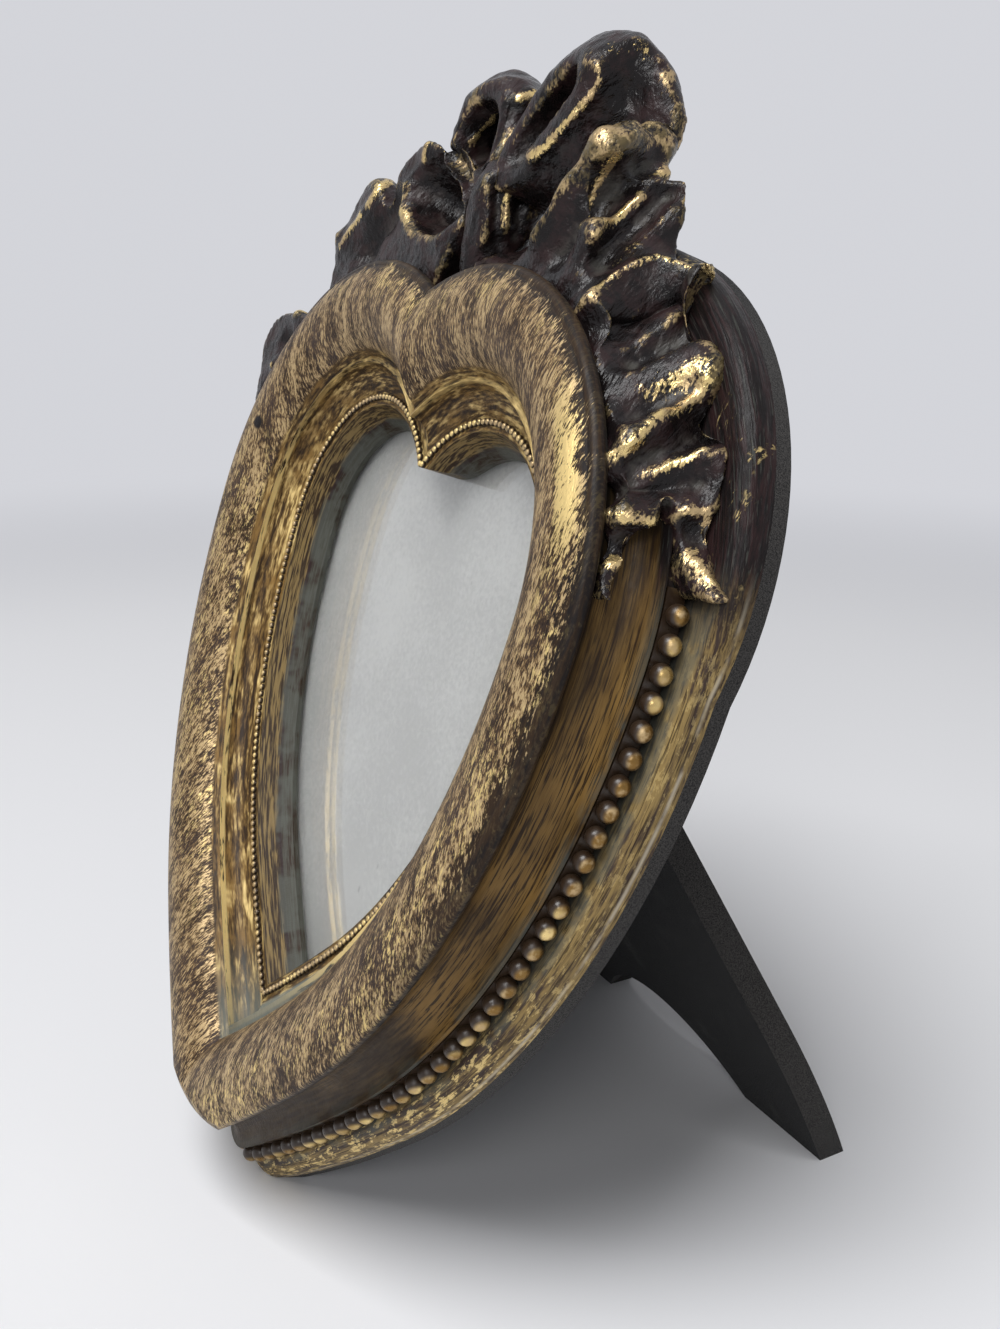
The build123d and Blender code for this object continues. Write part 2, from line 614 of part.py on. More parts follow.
with BuildPart() as hinge_fixed_leaf:
    with BuildSketch(heart_plane(-RING_T - LEAF_T)):
        with Locations((0, HINGE_Z + LEAF_START)):
            Rectangle(2 * hinge_half, LEAF_LENGTH - LEAF_START, align=(Align.CENTER, Align.MIN))
        with Locations((0, HINGE_Z)):
            with GridLocations(2 * fixed_middle, 0, 2, 1):
                Rectangle(FIXED_KNUCKLE, LEAF_LENGTH, align=(Align.CENTER, Align.MIN))
        with Locations((0, HINGE_Z + RIVET_REACH)):
            with GridLocations(RIVET_SPREAD, 0, 2, 1):
                Circle(RIVET_R, mode=Mode.SUBTRACT)
    extrude(amount=LEAF_T)
    with BuildSketch(Plane(origin=hinge_point, x_dir=UP, z_dir=RIGHT)):
        Circle(KNUCKLE_R)
    extrude(amount=hinge_half, both=True)
    with BuildSketch(Plane(origin=hinge_point, x_dir=UP, z_dir=RIGHT)):
        Rectangle(2 * LEAF_START, 4 * KNUCKLE_R)
    extrude(amount=hinge_half - FIXED_KNUCKLE, both=True, mode=Mode.SUBTRACT)
    with BuildSketch(Plane(origin=hinge_point, x_dir=UP, z_dir=RIGHT)):
        Circle(PIN_R + PIN_FIT)
    extrude(amount=hinge_half, both=True, mode=Mode.SUBTRACT)

with BuildPart() as hinge_pin:
    with BuildSketch(Plane(origin=hinge_point, x_dir=UP, z_dir=RIGHT)):
        Circle(PIN_R)
    extrude(amount=hinge_half, both=True)
    for direction in (1, -1):
        head_origin = hinge_point + RIGHT * (direction * hinge_half)
        with BuildSketch(Plane(origin=head_origin, x_dir=UP, z_dir=RIGHT * direction)):
            Circle(PIN_HEAD_R)
        extrude(amount=PIN_HEAD_T)
    chamfer(faces().sort_by(Axis.X)[0].edges() + faces().sort_by(Axis.X)[-1].edges(), PIN_HEAD_T / 2)

# The heel of the moving leaf stops against the back board when the leg is open
heel = (KNUCKLE_R + KNUCKLE_CLEAR) / sin(radians(LEG_OPEN))
with BuildPart() as hinge_moving_leaf:
    with BuildSketch(leg_plane(0, -LEAF_T)):
        with Locations((0, LEAF_START)):
            Rectangle(2 * hinge_half, LEAF_LENGTH - LEAF_START, align=(Align.CENTER, Align.MIN))
        with Locations((0, -heel)):
            Rectangle(MOVING_KNUCKLE, heel + LEAF_LENGTH, align=(Align.CENTER, Align.MIN))
        with Locations((0, RIVET_REACH)):
            with GridLocations(RIVET_SPREAD, 0, 2, 1):
                Circle(RIVET_R, mode=Mode.SUBTRACT)
    extrude(amount=LEAF_T)
    with BuildSketch(Plane(origin=hinge_point, x_dir=UP, z_dir=RIGHT)):
        Circle(KNUCKLE_R)
    extrude(amount=MOVING_KNUCKLE / 2, both=True)
    with BuildSketch(Plane(origin=hinge_point, x_dir=UP, z_dir=RIGHT)):
        Circle(PIN_R + PIN_FIT)
    extrude(amount=MOVING_KNUCKLE / 2, both=True, mode=Mode.SUBTRACT)
    with BuildSketch(heart_plane(-RING_T - STOP_CLEAR)):
        with Locations((0, HINGE_Z)):
            Rectangle(2 * hinge_half, LEAF_LENGTH)
    extrude(amount=DOOR_T, mode=Mode.SUBTRACT)

# Leg, cut off level with the table
with BuildPart() as easel_leg:
    with BuildSketch(leg_plane(0, 0)) as leg_outline:
        with BuildLine():
            top = Line((0, LEAF_START), (LEG_TOP_HALF, LEAF_START))
            hip = Line(top @ 1, (LEG_HIP_HALF, leg_length - LEG_HIP))
            foot = TangentArc(hip @ 1, (LEG_FOOT_HALF, leg_length + LEG_T), tangent=hip % 1)
            sole = Line(foot @ 1, (ARCH_HALF, leg_length + LEG_T))
            riser = Line(sole @ 1, (ARCH_HALF, leg_length))
            ThreePointArc(
                riser @ 1,
                (0, leg_length - ARCH_HEIGHT),
                (-ARCH_HALF, leg_length),
            )
            mirror([top, hip, foot, sole, riser], about=Plane.YZ)
        make_face()
    extrude(amount=LEG_T)
    with BuildSketch(leg_plane(RIVET_REACH, 0)):
        with GridLocations(RIVET_SPREAD, 0, 2, 1):
            Circle(RIVET_R)
    extrude(amount=RIVET_DEPTH, mode=Mode.SUBTRACT)
    floor_cut()

# Rivets of the hinge leaves
with BuildPart() as hinge_rivets_back:
    with BuildSketch(heart_plane(-RING_T + RIVET_DEPTH)):
        with Locations((0, HINGE_Z + RIVET_REACH)):
            with GridLocations(RIVET_SPREAD, 0, 2, 1):
                Circle(RIVET_R)
    extrude(amount=-RIVET_DEPTH - LEAF_T)
    with BuildSketch(heart_plane(-RING_T - LEAF_T)):
        with Locations((0, HINGE_Z + RIVET_REACH)):
            with GridLocations(RIVET_SPREAD, 0, 2, 1):
                Circle(RIVET_HEAD_R)
    extrude(amount=-RIVET_HEAD_T)

with BuildPart() as hinge_rivets_leg:
    with BuildSketch(leg_plane(RIVET_REACH, RIVET_DEPTH)):
        with GridLocations(RIVET_SPREAD, 0, 2, 1):
            Circle(RIVET_R)
    extrude(amount=-RIVET_DEPTH - LEAF_T)
    with BuildSketch(leg_plane(RIVET_REACH, -LEAF_T)):
        with GridLocations(RIVET_SPREAD, 0, 2, 1):
            Circle(RIVET_HEAD_R)
    extrude(amount=-RIVET_HEAD_T)

# Turn buttons on the back, each on its screw
button_h = -RING_T - BUTTON_LIFT
turn_buttons = {}
for seat, (x, z, inward) in button_seats.items():
    with BuildPart() as turn_button:
        with BuildSketch(Plane(origin=place(x, z, button_h), x_dir=inward, z_dir=-FRONT)):
            Circle(BUTTON_R)
            with Locations((BUTTON_LENGTH, 0)):
                Circle(BUTTON_TIP_R)
            make_hull()
            Circle(SCREW_R + SCREW_FIT, mode=Mode.SUBTRACT)
        extrude(amount=BUTTON_T)
    turn_buttons[f"turn_button_{seat}"] = turn_button

head_h = button_h - BUTTON_T - BUTTON_LIFT
with BuildPart() as turn_button_screws:
    with BuildSketch(heart_plane(head_h)):
        with Locations(*screw_points):
            Circle(SCREW_R)
    extrude(amount=SCREW_DEPTH - RING_T - head_h)
    with BuildSketch(heart_plane(head_h)):
        with Locations(*screw_points):
            Circle(SCREW_HEAD_R)
    extrude(amount=-SCREW_HEAD_T)

pieces = {
    "heart_moulding": heart_moulding,
    "pearl_beading": pearl_beading,
    "sight_beading": sight_beading,
    "bow_knot": bow_knot,
    "bow_tail_right": bow_tail_right,
    "bow_tail_left": bow_tail_left,
    "bow_loop_right": bow_loop_right,
    "bow_loop_left": bow_loop_left,
    "glass_pane": glass_pane,
    "photo_card": photo_card,
    "filler_board": filler_board,
    "rear_velvet_ring": rear_velvet_ring,
    "back_board": back_board,
    "hinge_fixed_leaf": hinge_fixed_leaf,
    "hinge_pin": hinge_pin,
    "hinge_moving_leaf": hinge_moving_leaf,
    "easel_leg": easel_leg,
    "hinge_rivets_back": hinge_rivets_back,
    "hinge_rivets_leg": hinge_rivets_leg,
    "turn_button_screws": turn_button_screws,
    **turn_buttons,
}

os.makedirs("parts", exist_ok=True)
for name, piece in pieces.items():
    piece.part.label = name
    export_step(piece.part, f"parts/{name}.step")

print("hinge axis at", hinge_point, "leg length", leg_length)
for seat, (x, z, inward) in button_seats.items():
    print("turn button", seat, "at", place(x, z, -RING_T))
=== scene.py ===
from math import acos, cos, pi, radians, sin, sqrt

import bmesh
import bpy
import numpy as np
from mathutils import Matrix, Vector, noise


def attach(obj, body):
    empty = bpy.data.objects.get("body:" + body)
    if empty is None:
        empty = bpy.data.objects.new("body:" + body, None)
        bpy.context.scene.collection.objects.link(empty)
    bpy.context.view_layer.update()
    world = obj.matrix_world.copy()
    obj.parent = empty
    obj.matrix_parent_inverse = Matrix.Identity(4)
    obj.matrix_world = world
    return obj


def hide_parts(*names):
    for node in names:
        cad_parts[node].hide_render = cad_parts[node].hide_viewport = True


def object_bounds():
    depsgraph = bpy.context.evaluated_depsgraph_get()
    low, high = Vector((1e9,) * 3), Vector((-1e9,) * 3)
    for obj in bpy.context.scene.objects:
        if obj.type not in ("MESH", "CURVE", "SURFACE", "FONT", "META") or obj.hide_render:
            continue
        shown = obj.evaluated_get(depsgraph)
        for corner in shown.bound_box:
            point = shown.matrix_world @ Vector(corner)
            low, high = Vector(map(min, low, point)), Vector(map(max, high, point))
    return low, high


bl_info = {
    "name": "Heart photo frame",
    "version": (1, 0, 0),
    "blender": (4, 5, 0),
    "location": "View3D > Sidebar > Heart frame",
    "description": "Gilded, bronzed and velvet finishes for a heart shaped photo frame",
    "category": "Object",
}

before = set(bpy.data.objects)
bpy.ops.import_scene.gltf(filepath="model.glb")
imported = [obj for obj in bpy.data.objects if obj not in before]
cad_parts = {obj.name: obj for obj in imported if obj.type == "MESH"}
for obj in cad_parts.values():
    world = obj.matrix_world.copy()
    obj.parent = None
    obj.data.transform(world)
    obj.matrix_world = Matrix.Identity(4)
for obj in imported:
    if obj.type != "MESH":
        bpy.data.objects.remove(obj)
cad_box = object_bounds()

# The heart's own frame in mm: X to the right, Z up its leaning plane, height towards the viewer
MM = 0.001
LEAN = radians(19.6)
LOBE_X = 15.8
LOBE_R = 39.2
FLANK_R = 87.0
FLANK_X = LOBE_X - (FLANK_R - LOBE_R)
FLANK_ANGLE = radians(46.5)
LOWER_R = 262.0
LOWER_X = FLANK_X - (LOWER_R - FLANK_R) * cos(FLANK_ANGLE)
LOWER_Z = (LOWER_R - FLANK_R) * sin(FLANK_ANGLE)
TIP_R = 5.0
TIP_ANGLE = acos(-LOWER_X / (LOWER_R - TIP_R))
TIP_Z = LOWER_Z - (LOWER_R - TIP_R) * sin(TIP_ANGLE)
OUTLINE_STEPS = (40, 20, 10)  # points along each arc of the card
FLANGE_OUT = 3.3
TIP_CUT = 1.2
REST_DEPTH = 1.0
UP = Vector((0, sin(LEAN), cos(LEAN)))
FRONT = Vector((0, -cos(LEAN), sin(LEAN)))
HEART_AXES = (Vector((1, 0, 0)), UP, FRONT)
HEART_ORIGIN = Vector((0, REST_DEPTH, 0)) - UP * (TIP_Z - TIP_R - FLANGE_OUT + TIP_CUT)

# How far each run of the outline is from the tip, along the pearl row
TIP_RUN = (pi / 2 - TIP_ANGLE) * TIP_R
LOWER_RUN = TIP_RUN + (TIP_ANGLE - FLANK_ANGLE) * LOWER_R
FLANK_RUN = LOWER_RUN + FLANK_ANGLE * FLANK_R

# Pearls, fine beads and card in mm, with out measured from the pearl row
PEARL_PITCH = 3.0
PEARL_H = 5.1
PEARL_FACE = (1.08, 0.70)
PEARL_FRONT = (-0.8, 0.3)
LEDGE_H = 9.4
BEAD_OUT = -19.2
BEAD_H = LEDGE_H + 0.2
BEAD_CROWN = (LEDGE_H + 0.34, LEDGE_H + 0.60)
BEAD_SEGMENTS = 12
BEAD_RINGS = 8
CARD_OUT = -18.0
CARD_BACK_H = 2.22
CARD_T = 0.3  # leaves a hair of air under the glass

# Parts of the moulding in mm: each has soft steps (start, full) and bands (low, high, softness)
# of out, height, place along the pearl row (left is negative) and run from the tip
ROLL = (("out", -13.9, -1.0, 0.25), ("height", 13.4, 13.9))
ROLL_LEFT = (("along", -20.0, -50.0), ("run", FLANK_RUN + 20, FLANK_RUN))
ROLL_RIGHT = (("out", -8.2, -4.0, 1.2), ("along", 18.0, FLANK_RUN - 4, 10.0))
# The right lobe's outer crown, where rubbed gold is partly a painted highlight
ROLL_RUBBED_HIGHLIGHT = (("out", -6.2, -3.6, 0.7), ("along", FLANK_RUN + 10, FLANK_RUN + 28, 7.0))
UNDER_ROLL = (("height", 15.7, 14.7), ("out", -6.0, -5.0), ("run", 8.0, 26.0))
FLANGE = (("out", -0.2, 0.2), ("height", 4.2, 3.8), ("height", -0.05, 0.05))
FLANGE_RIM = (("out", 2.6, 3.0), ("height", 0.7, 1.15, 0.2))
SHOULDER = (("run", FLANK_RUN + 2, FLANK_RUN + 12), ("height", 8.2, 7.6), ("out", -2.0, -1.2))
HOLLOW = (("out", -7.0, -6.5), ("height", 6.4, 6.8), ("height", 13.9, 13.5))
INNER_STEPS = (("out", -13.6, -13.9), ("height", 4.0, 4.3))
BRIGHT_EDGE = (("out", -15.45, -14.75, 0.15), ("height", 12.3, 12.6))
LOWER_CORNER = (("run", 55.0, 22.0), ("along", -30.0, 0.0), ("out", -18.3, -17.8))
ROLL_EDGE_OUT = (-9.0, -3.5)
# Out and run of the painted shade along the roll's outer edge
EDGE_SHADE_OUT = (-4.1, -3.2)
EDGE_SHADE_RUN = (48.0, 85.0)
LEAF_RUN = (85.0, 45.0)
PATCH_RUN = (25.0, 45.0)
GROOVE_SHADE_H = (11.6, 12.8)
BRIGHT_RUN = (FLANK_RUN + 28, FLANK_RUN + 4)
LIP_OUT = (-20.0, -20.3)
LIP_REFLECTION_OUT = (-21.6, -21.8)
LIP_SHADOW_OUT = (-21.85, -21.65, 0.08)
PEARL_BED_H = (3.3, 7.2, 0.2)
CHIP_PLACE = (-43.3, 11.2, 0.0)
CHIP_SIZE = (1.9, 1.3)

# How the ribbon is cast: rounds of smoothing, unevenness and the shapes of folds, sizes in mm
WELD = 0.005
EDGE_ROUNDS = 10
FOLD_ROUNDS = 2
CREST_ROUNDS = 30
CREST_GRAINS = 0.9
LUMP_H = 0.45
LUMP_SIZE = 4.5
GRAIN_H = 0.16
GRAIN_SIZE = 1.3
GRAIN_STRETCH = (2.0, 1.0, 0.7)
CREST_SHARPNESS = 1.3
CREASE_SHARPNESS = 2.0
GILT_WIDTH = 0.6
PLEAT_LINE = Vector((-0.30, 0.72, -0.62)).normalized()
PLEAT_SIDE = PLEAT_LINE.cross((0, 0, 1)).normalized()
PLEAT_FACE = PLEAT_LINE.cross(PLEAT_SIDE)

# Folds of the cast ribbon: how proud, half width in mm, how much gold is rubbed on,
# and the points (x, z, height) in mm
FOLD_DEPTH = 1.7
RIBBON_FOLDS = {}
RIBBON_FOLDS["bow_tail_right"] = (
    (0.8, 1.8, 0.62, ((25.8, 52.6, 10.0), (24.0, 53.6, 6.8), (22.3, 55.4, 3.6))),
    (1.5, 2.6, 0.0, ((25.2, 53.0, 9.0), (23.2, 54.4, 5.2))),
    (0.5, 1.3, 0.9, (
        (26.7, 50.5, 11.1), (26.4, 47.4, 12.0), (26.6, 44.8, 13.0), (27.9, 42.5, 13.2),
    )),
    (-1.4, 2.2, 0.0, ((27.6, 45.5, 11.1), (27.7, 49.5, 9.2), (24.7, 53.3, 5.4))),
    (0.9, 1.2, 1.0, (
        (30.6, 41.2, 12.8), (29.0, 44.3, 10.8), (29.0, 47.7, 7.9), (25.1, 51.9, 3.9),
    )),
    (-1.3, 2.0, 0.0, ((31.3, 39.5, 11.6), (30.5, 44.0, 8.9), (30.1, 48.8, 5.8))),
    (0.5, 1.4, 0.45, ((32.1, 37.8, 10.9), (31.7, 42.7, 7.9), (31.1, 47.5, 4.9))),
    (0.9, 1.5, 0.1, ((20.0, 40.8, 13.2), (23.2, 46.2, 13.2), (26.4, 50.9, 12.4))),
    (-1.2, 2.0, 0.0, ((24.2, 39.7, 13.2), (26.1, 44.2, 13.2), (26.4, 48.5, 12.0))),
    (0.8, 1.3, 0.75, (
        (31.9, 31.4, 12.6), (34.3, 34.4, 13.2), (33.6, 38.2, 9.6), (34.2, 40.6, 6.8),
        (37.5, 41.4, 4.7), (38.9, 42.1, 3.8), (41.4, 41.3, 3.6),
    )),
    (-2.2, 3.4, 0.0, ((38.5, 32.9, 11.2), (38.6, 37.2, 8.0), (40.4, 40.2, 4.8))),
    (0.6, 1.6, 0.0, ((39.5, 30.8, 10.6), (40.0, 34.7, 6.7), (41.5, 38.9, 3.5))),
    (-0.9, 1.6, 0.0, ((40.7, 29.5, 10.1), (41.0, 33.4, 5.5), (41.4, 37.7, 3.4))),
    (0.5, 1.8, 0.25, ((41.7, 28.0, 10.2), (43.4, 32.0, 5.4), (44.6, 32.8, 3.6))),
    (0.3, 3.0, 0.75, ((44.0, 26.3, 9.5), (44.9, 28.1, 7.4), (46.0, 30.5, 5.2))),
    (-0.7, 1.6, 0.0, ((45.9, 23.4, 12.4), (45.5, 25.7, 8.4), (46.3, 28.3, 5.6))),
    (1.1, 1.6, 1.0, (
        (46.8, 17.7, 13.2), (48.9, 20.5, 12.6), (47.5, 24.2, 8.6), (46.7, 27.6, 5.2),
        (46.6, 29.2, 4.9),
    )),
    (-1.3, 2.2, 0.0, ((49.4, 19.4, 11.8), (50.4, 22.6, 8.2), (48.8, 25.0, 4.9))),
    (0.8, 1.3, 0.85, (
        (47.0, 17.1, 13.1), (50.4, 19.1, 10.7), (51.5, 21.5, 7.3), (51.6, 22.5, 6.3),
    )),
    (-1.1, 2.0, 0.0, ((48.0, 16.0, 13.2), (51.6, 17.5, 10.8), (52.9, 19.4, 6.5))),
    (0.6, 1.6, 1.0, ((49.6, 13.5, 13.2), (51.4, 14.0, 11.8), (52.1, 14.2, 9.9))),
    (-0.9, 2.0, 0.0, ((51.0, 10.9, 12.6), (52.0, 11.7, 10.3))),
    (0.5, 1.6, 1.0, ((51.3, 9.3, 12.4), (52.0, 9.5, 11.1))),
    (0.5, 1.5, 0.9, ((53.2, 16.3, 6.7), (53.9, 16.6, 4.8), (54.6, 14.3, 4.0))),
    (-1.0, 2.2, 0.0, ((53.8, 14.1, 5.6), (54.1, 14.7, 4.7))),
    (0.5, 2.2, 1.0, ((54.3, 12.2, 5.6), (56.1, 10.5, 4.5), (57.8, 10.1, 3.4))),
)
RIBBON_FOLDS["bow_loop_right"] = (
    (0.7, 1.1, 1.0, (
        (17.5, 61.2, 11.2), (17.9, 60.0, 10.7), (17.3, 58.3, 10.9), (15.4, 55.5, 11.5),
        (12.8, 52.6, 11.8), (10.3, 51.0, 12.4),
    )),
    (-0.8, 2.5, 0.0, ((19.3, 53.7, 6.7), (19.0, 57.4, 8.8), (19.4, 60.3, 8.8))),
    (0.5, 3.0, 0.5, ((17.6, 63.6, 10.3), (18.2, 65.3, 8.0), (19.9, 64.1, 5.8))),
    (-0.7, 2.0, 0.0, ((20.6, 57.1, 6.6), (20.4, 60.3, 7.1), (20.0, 63.4, 6.6))),
    (0.5, 2.0, 0.5, ((21.4, 61.5, 3.9), (22.4, 58.7, 2.2), (22.3, 54.6, 1.6))),
)
RIBBON_FOLDS["bow_loop_left"] = (
    (0.5, 1.2, 1.0, (
        (-15.3, 52.9, 8.4), (-12.9, 55.1, 10.2), (-11.6, 59.0, 9.0), (-1.3, 59.4, 10.7),
        (-2.0, 60.7, 8.6),
    )),
    (0.5, 1.2, 0.2, ((-0.2, 51.7, 11.9), (-0.1, 55.4, 10.8), (-0.8, 58.5, 10.0))),
    (-0.8, 1.8, 0.0, ((-3.0, 51.6, 12.4), (-0.5, 55.3, 12.4), (-0.6, 57.8, 11.1))),
    (0.4, 2.0, 0.35, ((-12.4, 59.8, 12.3), (-7.1, 61.4, 12.4), (-3.3, 61.9, 10.4))),
)
RIBBON_FOLDS["bow_knot"] = (
    (0.6, 1.2, 0.5, ((1.9, 48.3, 12.7), (2.9, 44.4, 12.0), (2.8, 41.5, 11.4))),
    (0.6, 1.3, 0.8, ((3.3, 49.5, 10.7), (3.7, 46.7, 10.8), (3.8, 43.8, 10.1))),
    (-0.7, 1.2, 0.0, ((2.8, 48.2, 12.0), (3.5, 44.7, 11.3), (3.4, 41.6, 10.4))),
    (-0.6, 1.2, 0.0, ((3.6, 50.0, 9.2), (4.2, 46.7, 9.0), (4.0, 43.2, 8.2))),
)
RIBBON_FOLDS["bow_tail_left"] = (
    (-1.5, 2.8, 0.0, ((-12.5, 52.0, 13.2), (-8.0, 50.5, 13.2), (-5.0, 47.0, 13.2))),
    (0.5, 1.2, 1.0, ((-22.1, 48.4, 13.2), (-21.9, 45.7, 13.2), (-17.2, 42.7, 13.2))),
    (0.4, 1.2, 0.8, ((-18.6, 51.9, 13.2), (-18.5, 54.2, 13.2), (-13.8, 53.7, 13.2))),
    (0.5, 2.0, 0.9, ((-31.9, 45.9, 13.2), (-31.3, 48.1, 13.2), (-33.6, 49.4, 11.0))),
    (0.5, 2.0, 0.9, ((-38.4, 39.7, 13.2), (-36.9, 42.0, 13.2), (-33.9, 44.1, 13.2))),
    (-1.2, 2.4, 0.0, ((-30.4, 39.3, 13.2), (-27.6, 43.0, 13.2), (-24.3, 45.8, 13.2))),
    (0.5, 1.5, 0.2, ((-15.7, 41.6, 13.2), (-6.4, 40.7, 13.2), (-3.6, 43.5, 10.8))),
    (0.7, 1.5, 0.8, ((-40.6, 41.3, 13.2), (-40.9, 41.7, 3.4))),
    (-1.0, 2.2, 0.0, ((-41.3, 29.8, 13.2), (-43.8, 32.8, 3.4))),
    (0.7, 1.5, 0.9, ((-50.4, 29.1, 13.2), (-50.1, 27.8, 3.4))),
    (-1.0, 2.0, 0.0, ((-52.2, 24.6, 13.2), (-52.5, 24.7, 3.4))),
    (0.7, 1.4, 0.75, ((-53.4, 20.4, 13.0), (-54.7, 21.1, 3.6))),
    (-1.0, 2.0, 0.0, ((-54.2, 16.3, 12.8), (-56.7, 17.4, 3.8))),
    (0.7, 1.4, 0.9, ((-54.5, 12.2, 12.6), (-58.2, 13.4, 4.0))),
    (-0.8, 1.8, 0.0, ((-54.4, 8.9, 12.4), (-59.2, 10.0, 4.0))),
)

# The stage: floor, the distances over which it fades into the background, and the lamps
# with their places, aims, sizes and powers, in metres and watts
SENSOR_WIDTH = 36
CLIP_START = 0.01
FLOOR_RADIUS = 6
FLOOR_SEGMENTS = 96
FLOOR_FADE = (0.28, 0.6)
HAZE_FADE = (0.26, 0.62)
LAMPS = (
    ("overhead", (0.22, -0.50, 1.30), (0, 0, 0.06), 0.75, 17.6),
    ("beside_camera", (0.62, -0.42, 0.52), (0, 0, 0.10), 0.30, 1.5),
)

GLASS_TINT = (0.97, 0.985, 0.975, 1)
NOISE_RANGE = (0.3, 0.7)  # nearly all of a noise lies between these
VALUE = "NodeSocketFloat"
VECTOR = "NodeSocketVector"


def colour(name, text, value):
    """A colour that a user may change."""
    return bpy.props.FloatVectorProperty(
        name=name, description=text, subtype="COLOR", size=4, min=0, max=1, default=(*value, 1)
    )


def length(name, text, value, low, high):
    """A length in mm that a user may change."""
    return bpy.props.FloatProperty(
        name=name, description=text, unit="LENGTH", precision=5,
        default=value * MM, min=low * MM, max=high * MM,
    )


class FrameFinishes(bpy.types.PropertyGroup):
    """Colours of the frame's finishes"""

    gold: colour("Gold", "Rubbed gold on the crests", (0.86, 0.65, 0.28))
    pale_gold: colour("Pale gold", "Dry-brushed gold on the roll", (0.55, 0.40, 0.21))
    ochre: colour("Ochre", "Warm lacquer in the hollow", (0.235, 0.135, 0.040))
    umber: colour("Umber", "Ground under the gilding", (0.030, 0.017, 0.009))
    tan: colour("Tan", "Worn gold between the strokes", (0.165, 0.102, 0.048))
    mauve: colour("Mauve", "Thin purple-brown glaze on the roll", (0.052, 0.034, 0.027))
    # Wash also paints the reflection on the lower part of the lip
    wash: colour("Wash", "Grey-green wash left in the recesses", (0.095, 0.103, 0.088))
    paste: colour("Paste", "Pale paste left in the lower corner", (0.22, 0.24, 0.21))
    olive: colour("Olive", "Gilding of the base flange", (0.27, 0.185, 0.070))
    cream: colour("Cream", "Rubbed rim of the flange", (0.62, 0.54, 0.40))
    # Bronze, blended with umber, also paints the shade along the roll's outer edge and under the
    # roll
    bronze: colour("Bronze", "Dark bronze of the ribbon", (0.008, 0.006, 0.006))
    # Plum also paints the shadow line on the lip
    plum: colour("Plum", "Purple tinge of the ribbon", (0.024, 0.012, 0.012))
    velvet: colour("Velvet", "Black velvet pile", (0.006, 0.006, 0.0065))
    velvet_worn: colour("Worn velvet", "Velvet where the pile is rubbed", (0.115, 0.108, 0.102))
    card: colour("Card", "Blank card behind the glass", (0.72, 0.705, 0.685))
    board: colour("Board", "Packing board", (0.30, 0.235, 0.16))
    brass: colour("Brass", "Hinge and turn buttons", (0.56, 0.40, 0.17))
    steel: colour("Steel", "Hinge pin and screws", (0.42, 0.42, 0.43))


class FrameSizes(bpy.types.PropertyGroup):
    """Sizes of the pieces that are made here"""

    bead_radius: length("Bead radius", "Radius of one fine bead", 0.47, 0.2, 0.7)
    bead_pitch: length("Bead pitch", "Distance between fine beads", 1.06, 0.8, 2)
    casting_grain: length("Casting grain", "Finest detail of the cast ribbon", 0.32, 0.2, 1)


class FrameStage(bpy.types.PropertyGroup):
    """Camera, floor and light"""

    camera_place: bpy.props.FloatVectorProperty(
        name="Camera", description="Where the camera stands", subtype="TRANSLATION", unit="LENGTH",
        default=(0.1630, -0.0499, 0.1250),
    )
    camera_aim: bpy.props.FloatVectorProperty(
        name="Aim", description="Direction that the camera looks in", subtype="DIRECTION",
        default=(-0.844, 0.449, -0.293),
    )
    lens: bpy.props.FloatProperty(
        name="Lens", description="Focal length on a 36 mm frame", default=37.6, min=10, max=200,
    )
    floor: colour("Floor", "Pale floor", (0.86, 0.865, 0.89))
    distance: colour("Distance", "Pale background", (0.655, 0.662, 0.70))
    ambient: colour("Ambient", "Light from the room", (0.10, 0.101, 0.105))


